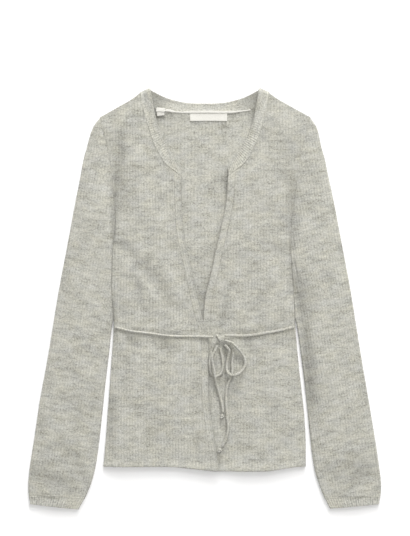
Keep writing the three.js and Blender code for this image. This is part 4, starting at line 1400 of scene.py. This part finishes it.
def back_panel():
    """Back on the floor: its inside on top, its outside creased where it lies on the floor."""
    v = spaced(BODY_LENGTH, 6, EDGE_ROUND)[:, None]
    u = mix(-1, 1, spaced(BACK_WIDTH, BACK_WALE / 5, EDGE_ROUND))[None, :]
    side_width = np.where(u < 0, BODY_SIDE["right"][-1], BODY_SIDE["left"][-1])
    y = mix(hem_y(u * HEM_REACH) + 0.5, back_top_y(u * side_width), v)
    level = np.minimum(y, SHOULDER_TIP_Y)
    reach = np.where(u < 0, follow(BODY_SIDE, "right", level), follow(BODY_SIDE, "left", level))
    x = u * reach
    rim = rounded((1 - np.abs(u)) * reach, EDGE_ROUND)
    rim = rim * rounded(v * BODY_LENGTH, EDGE_ROUND) * rounded((1 - v) * BODY_LENGTH, 1)
    warp = 0.2 * np.sin(y / 71 + x / 37)
    inside = ridge(x / BACK_WALE + warp)
    outside = ridge(x / BODY_WALE + warp)
    under = np.maximum(-crease_height(UNDER_CREASES, x, y), 0)
    half = WALL / 2 * rim
    upper = grid(x, y, WALL / 2 + half - WALE_HEIGHT * (1 - inside) * rim)
    lower = grid(x, y, WALL / 2 - half + (WALE_HEIGHT * (1 - outside) + under) * rim)
    # The light value is painted shade on the back's inside.
    cloth = grid(x + warp * BACK_WALE, y + BACK_SHIFT, 1, back_painted_shade(x, y))
    piece = shell("back_panel_knit", upper, lower, cloth, BACK_KNIT, "back_panel")
    nap(piece, FIBRES["back"], BACK_KNIT)


def woven(name, x, y, middle, half, across, along, stands_for):
    """A thin woven piece, and its upper points."""
    upper, lower = grid(x, y, middle + half), grid(x, y, middle - half)
    cloth = grid(across, along, 1, 1)
    return shell(name, upper, lower, cloth, WHITE_WEAVE, stands_for), upper


def label_rim(u, wide, v, tall):
    """Share of a label's half thickness, rounded off at its four rims."""
    return rounded(from_rim(u, wide), LABEL_ROUND) * rounded(from_rim(v, tall), LABEL_ROUND)


def neck_tape():
    """Woven tape over the back neck seam, a little arched across."""
    seam = BACK_SEAM[np.abs(BACK_SEAM[:, 0]) < TAPE["reach"]][::12]
    places, length = even_places(seam, 0.8)
    line = spline(seam, places)
    u = spaced(TAPE["wide"], 0.45, TAPE["round"])[None, :]
    along = np.linspace(0, length, len(line))[:, None]
    narrower = 0.5 * ramp(line[:, :1] - 30, 40) + 0.4 * ramp(-22 - line[:, :1], 14)
    offset = (u - 0.5) * TAPE["wide"] * (1 - narrower)
    wave = 0.12 * np.sin(along / 9) + 0.08 * np.sin(along / 4.1)
    rim = rounded(from_rim(u, TAPE["wide"]), TAPE["round"])
    rim = rim * rounded(np.minimum(along, length - along), TAPE["round"])
    arched = 0.25 * (1 - (2 * u - 1) ** 2)
    middle = BAND_WALL + BAND_WALE_HEIGHT + SEAM_GAP + TAPE["thick"] / 2 + arched
    x, y = line[:, :1] + 0 * u, line[:, 1:2] + offset + wave
    half = TAPE["thick"] / 2 * rim
    upper = woven("neck_tape_weave", x, y, middle, half, along, offset, "neck_tape")[1]
    for name, column in (("low", 5), ("high", -6)):
        line = upper[2:-2:4, column]
        stitches(f"tape_{name}_stitches", line, "tape", WHITE_WEAVE)


def neck_label():
    """Folded woven label, sewn along its top and free at the bottom, where it lifts a little."""
    wide = LABEL["right"] - LABEL["left"]
    tall = LABEL["top"] - LABEL["bottom"]
    u = spaced(wide, 1.2, LABEL_ROUND)[None, :]
    v = spaced(tall, 0.8, LABEL_ROUND)[:, None]
    x = LABEL["left"] + u * wide
    y = LABEL["bottom"] + v * tall + 0.25 * np.sin(u * 3.3) * (1 - v)
    lifted = 0.9 * (1 - v) ** 1.5 * (0.7 + 0.3 * np.cos(6 * u)) + 0.12 * np.sin(u * 14) * (1 - v)
    folds = 0.3 * (bell(u * wide - 2, 1.2) + bell((1 - u) * wide - 2, 1.2))
    middle = WALL + SEAM_GAP + LABEL["thick"] / 2 + lifted + folds
    half = LABEL["thick"] / 2 * label_rim(u, wide, v, tall)
    piece, upper = woven("neck_label_weave", x, y, middle, half, u * wide, v * tall, "neck_label")
    row = np.argmin(np.abs((1 - v) * tall - 1.0))
    stitches("label_stitches", upper[row, 2:-2:3], "label", WHITE_WEAVE, 0.92)


def care_label():
    """Folded end of the tape with a bare care tab sewn into it, in three overlapping layers."""
    made = []
    for name, corners, base, curl in CARE_LAYERS:
        low_left, low_right, high_left, high_right = np.array(corners, float)
        wide = np.linalg.norm(low_right - low_left)
        tall = np.linalg.norm(high_left - low_left)
        u = spaced(wide, 0.8, LABEL_ROUND)[None, :]
        v = spaced(tall, 0.7, LABEL_ROUND)[:, None]
        x, y = (mix(mix(low_left[k], low_right[k], u), mix(high_left[k], high_right[k], u), v)
                for k in (0, 1))
        middle = base + curl * (1 - v) ** 3 + 0.35 * np.sin(math.pi * u) * np.sin(math.pi * v)
        half = CARE_THICK / 2 * label_rim(u, wide, v, tall)
        stands_for = None if made else "care_label"
        made.append(woven(name, x, y, middle, half, u * wide, v * tall, stands_for)[0])


make_camera()
make_tie()
make_floor()
make_lights()
for side in SIDES:
    front_panel(side)
    front_strip(side)
    make_sleeve(side)
    make_cuff(side)
neckband()
back_panel()
neck_tape()
neck_label()
care_label()
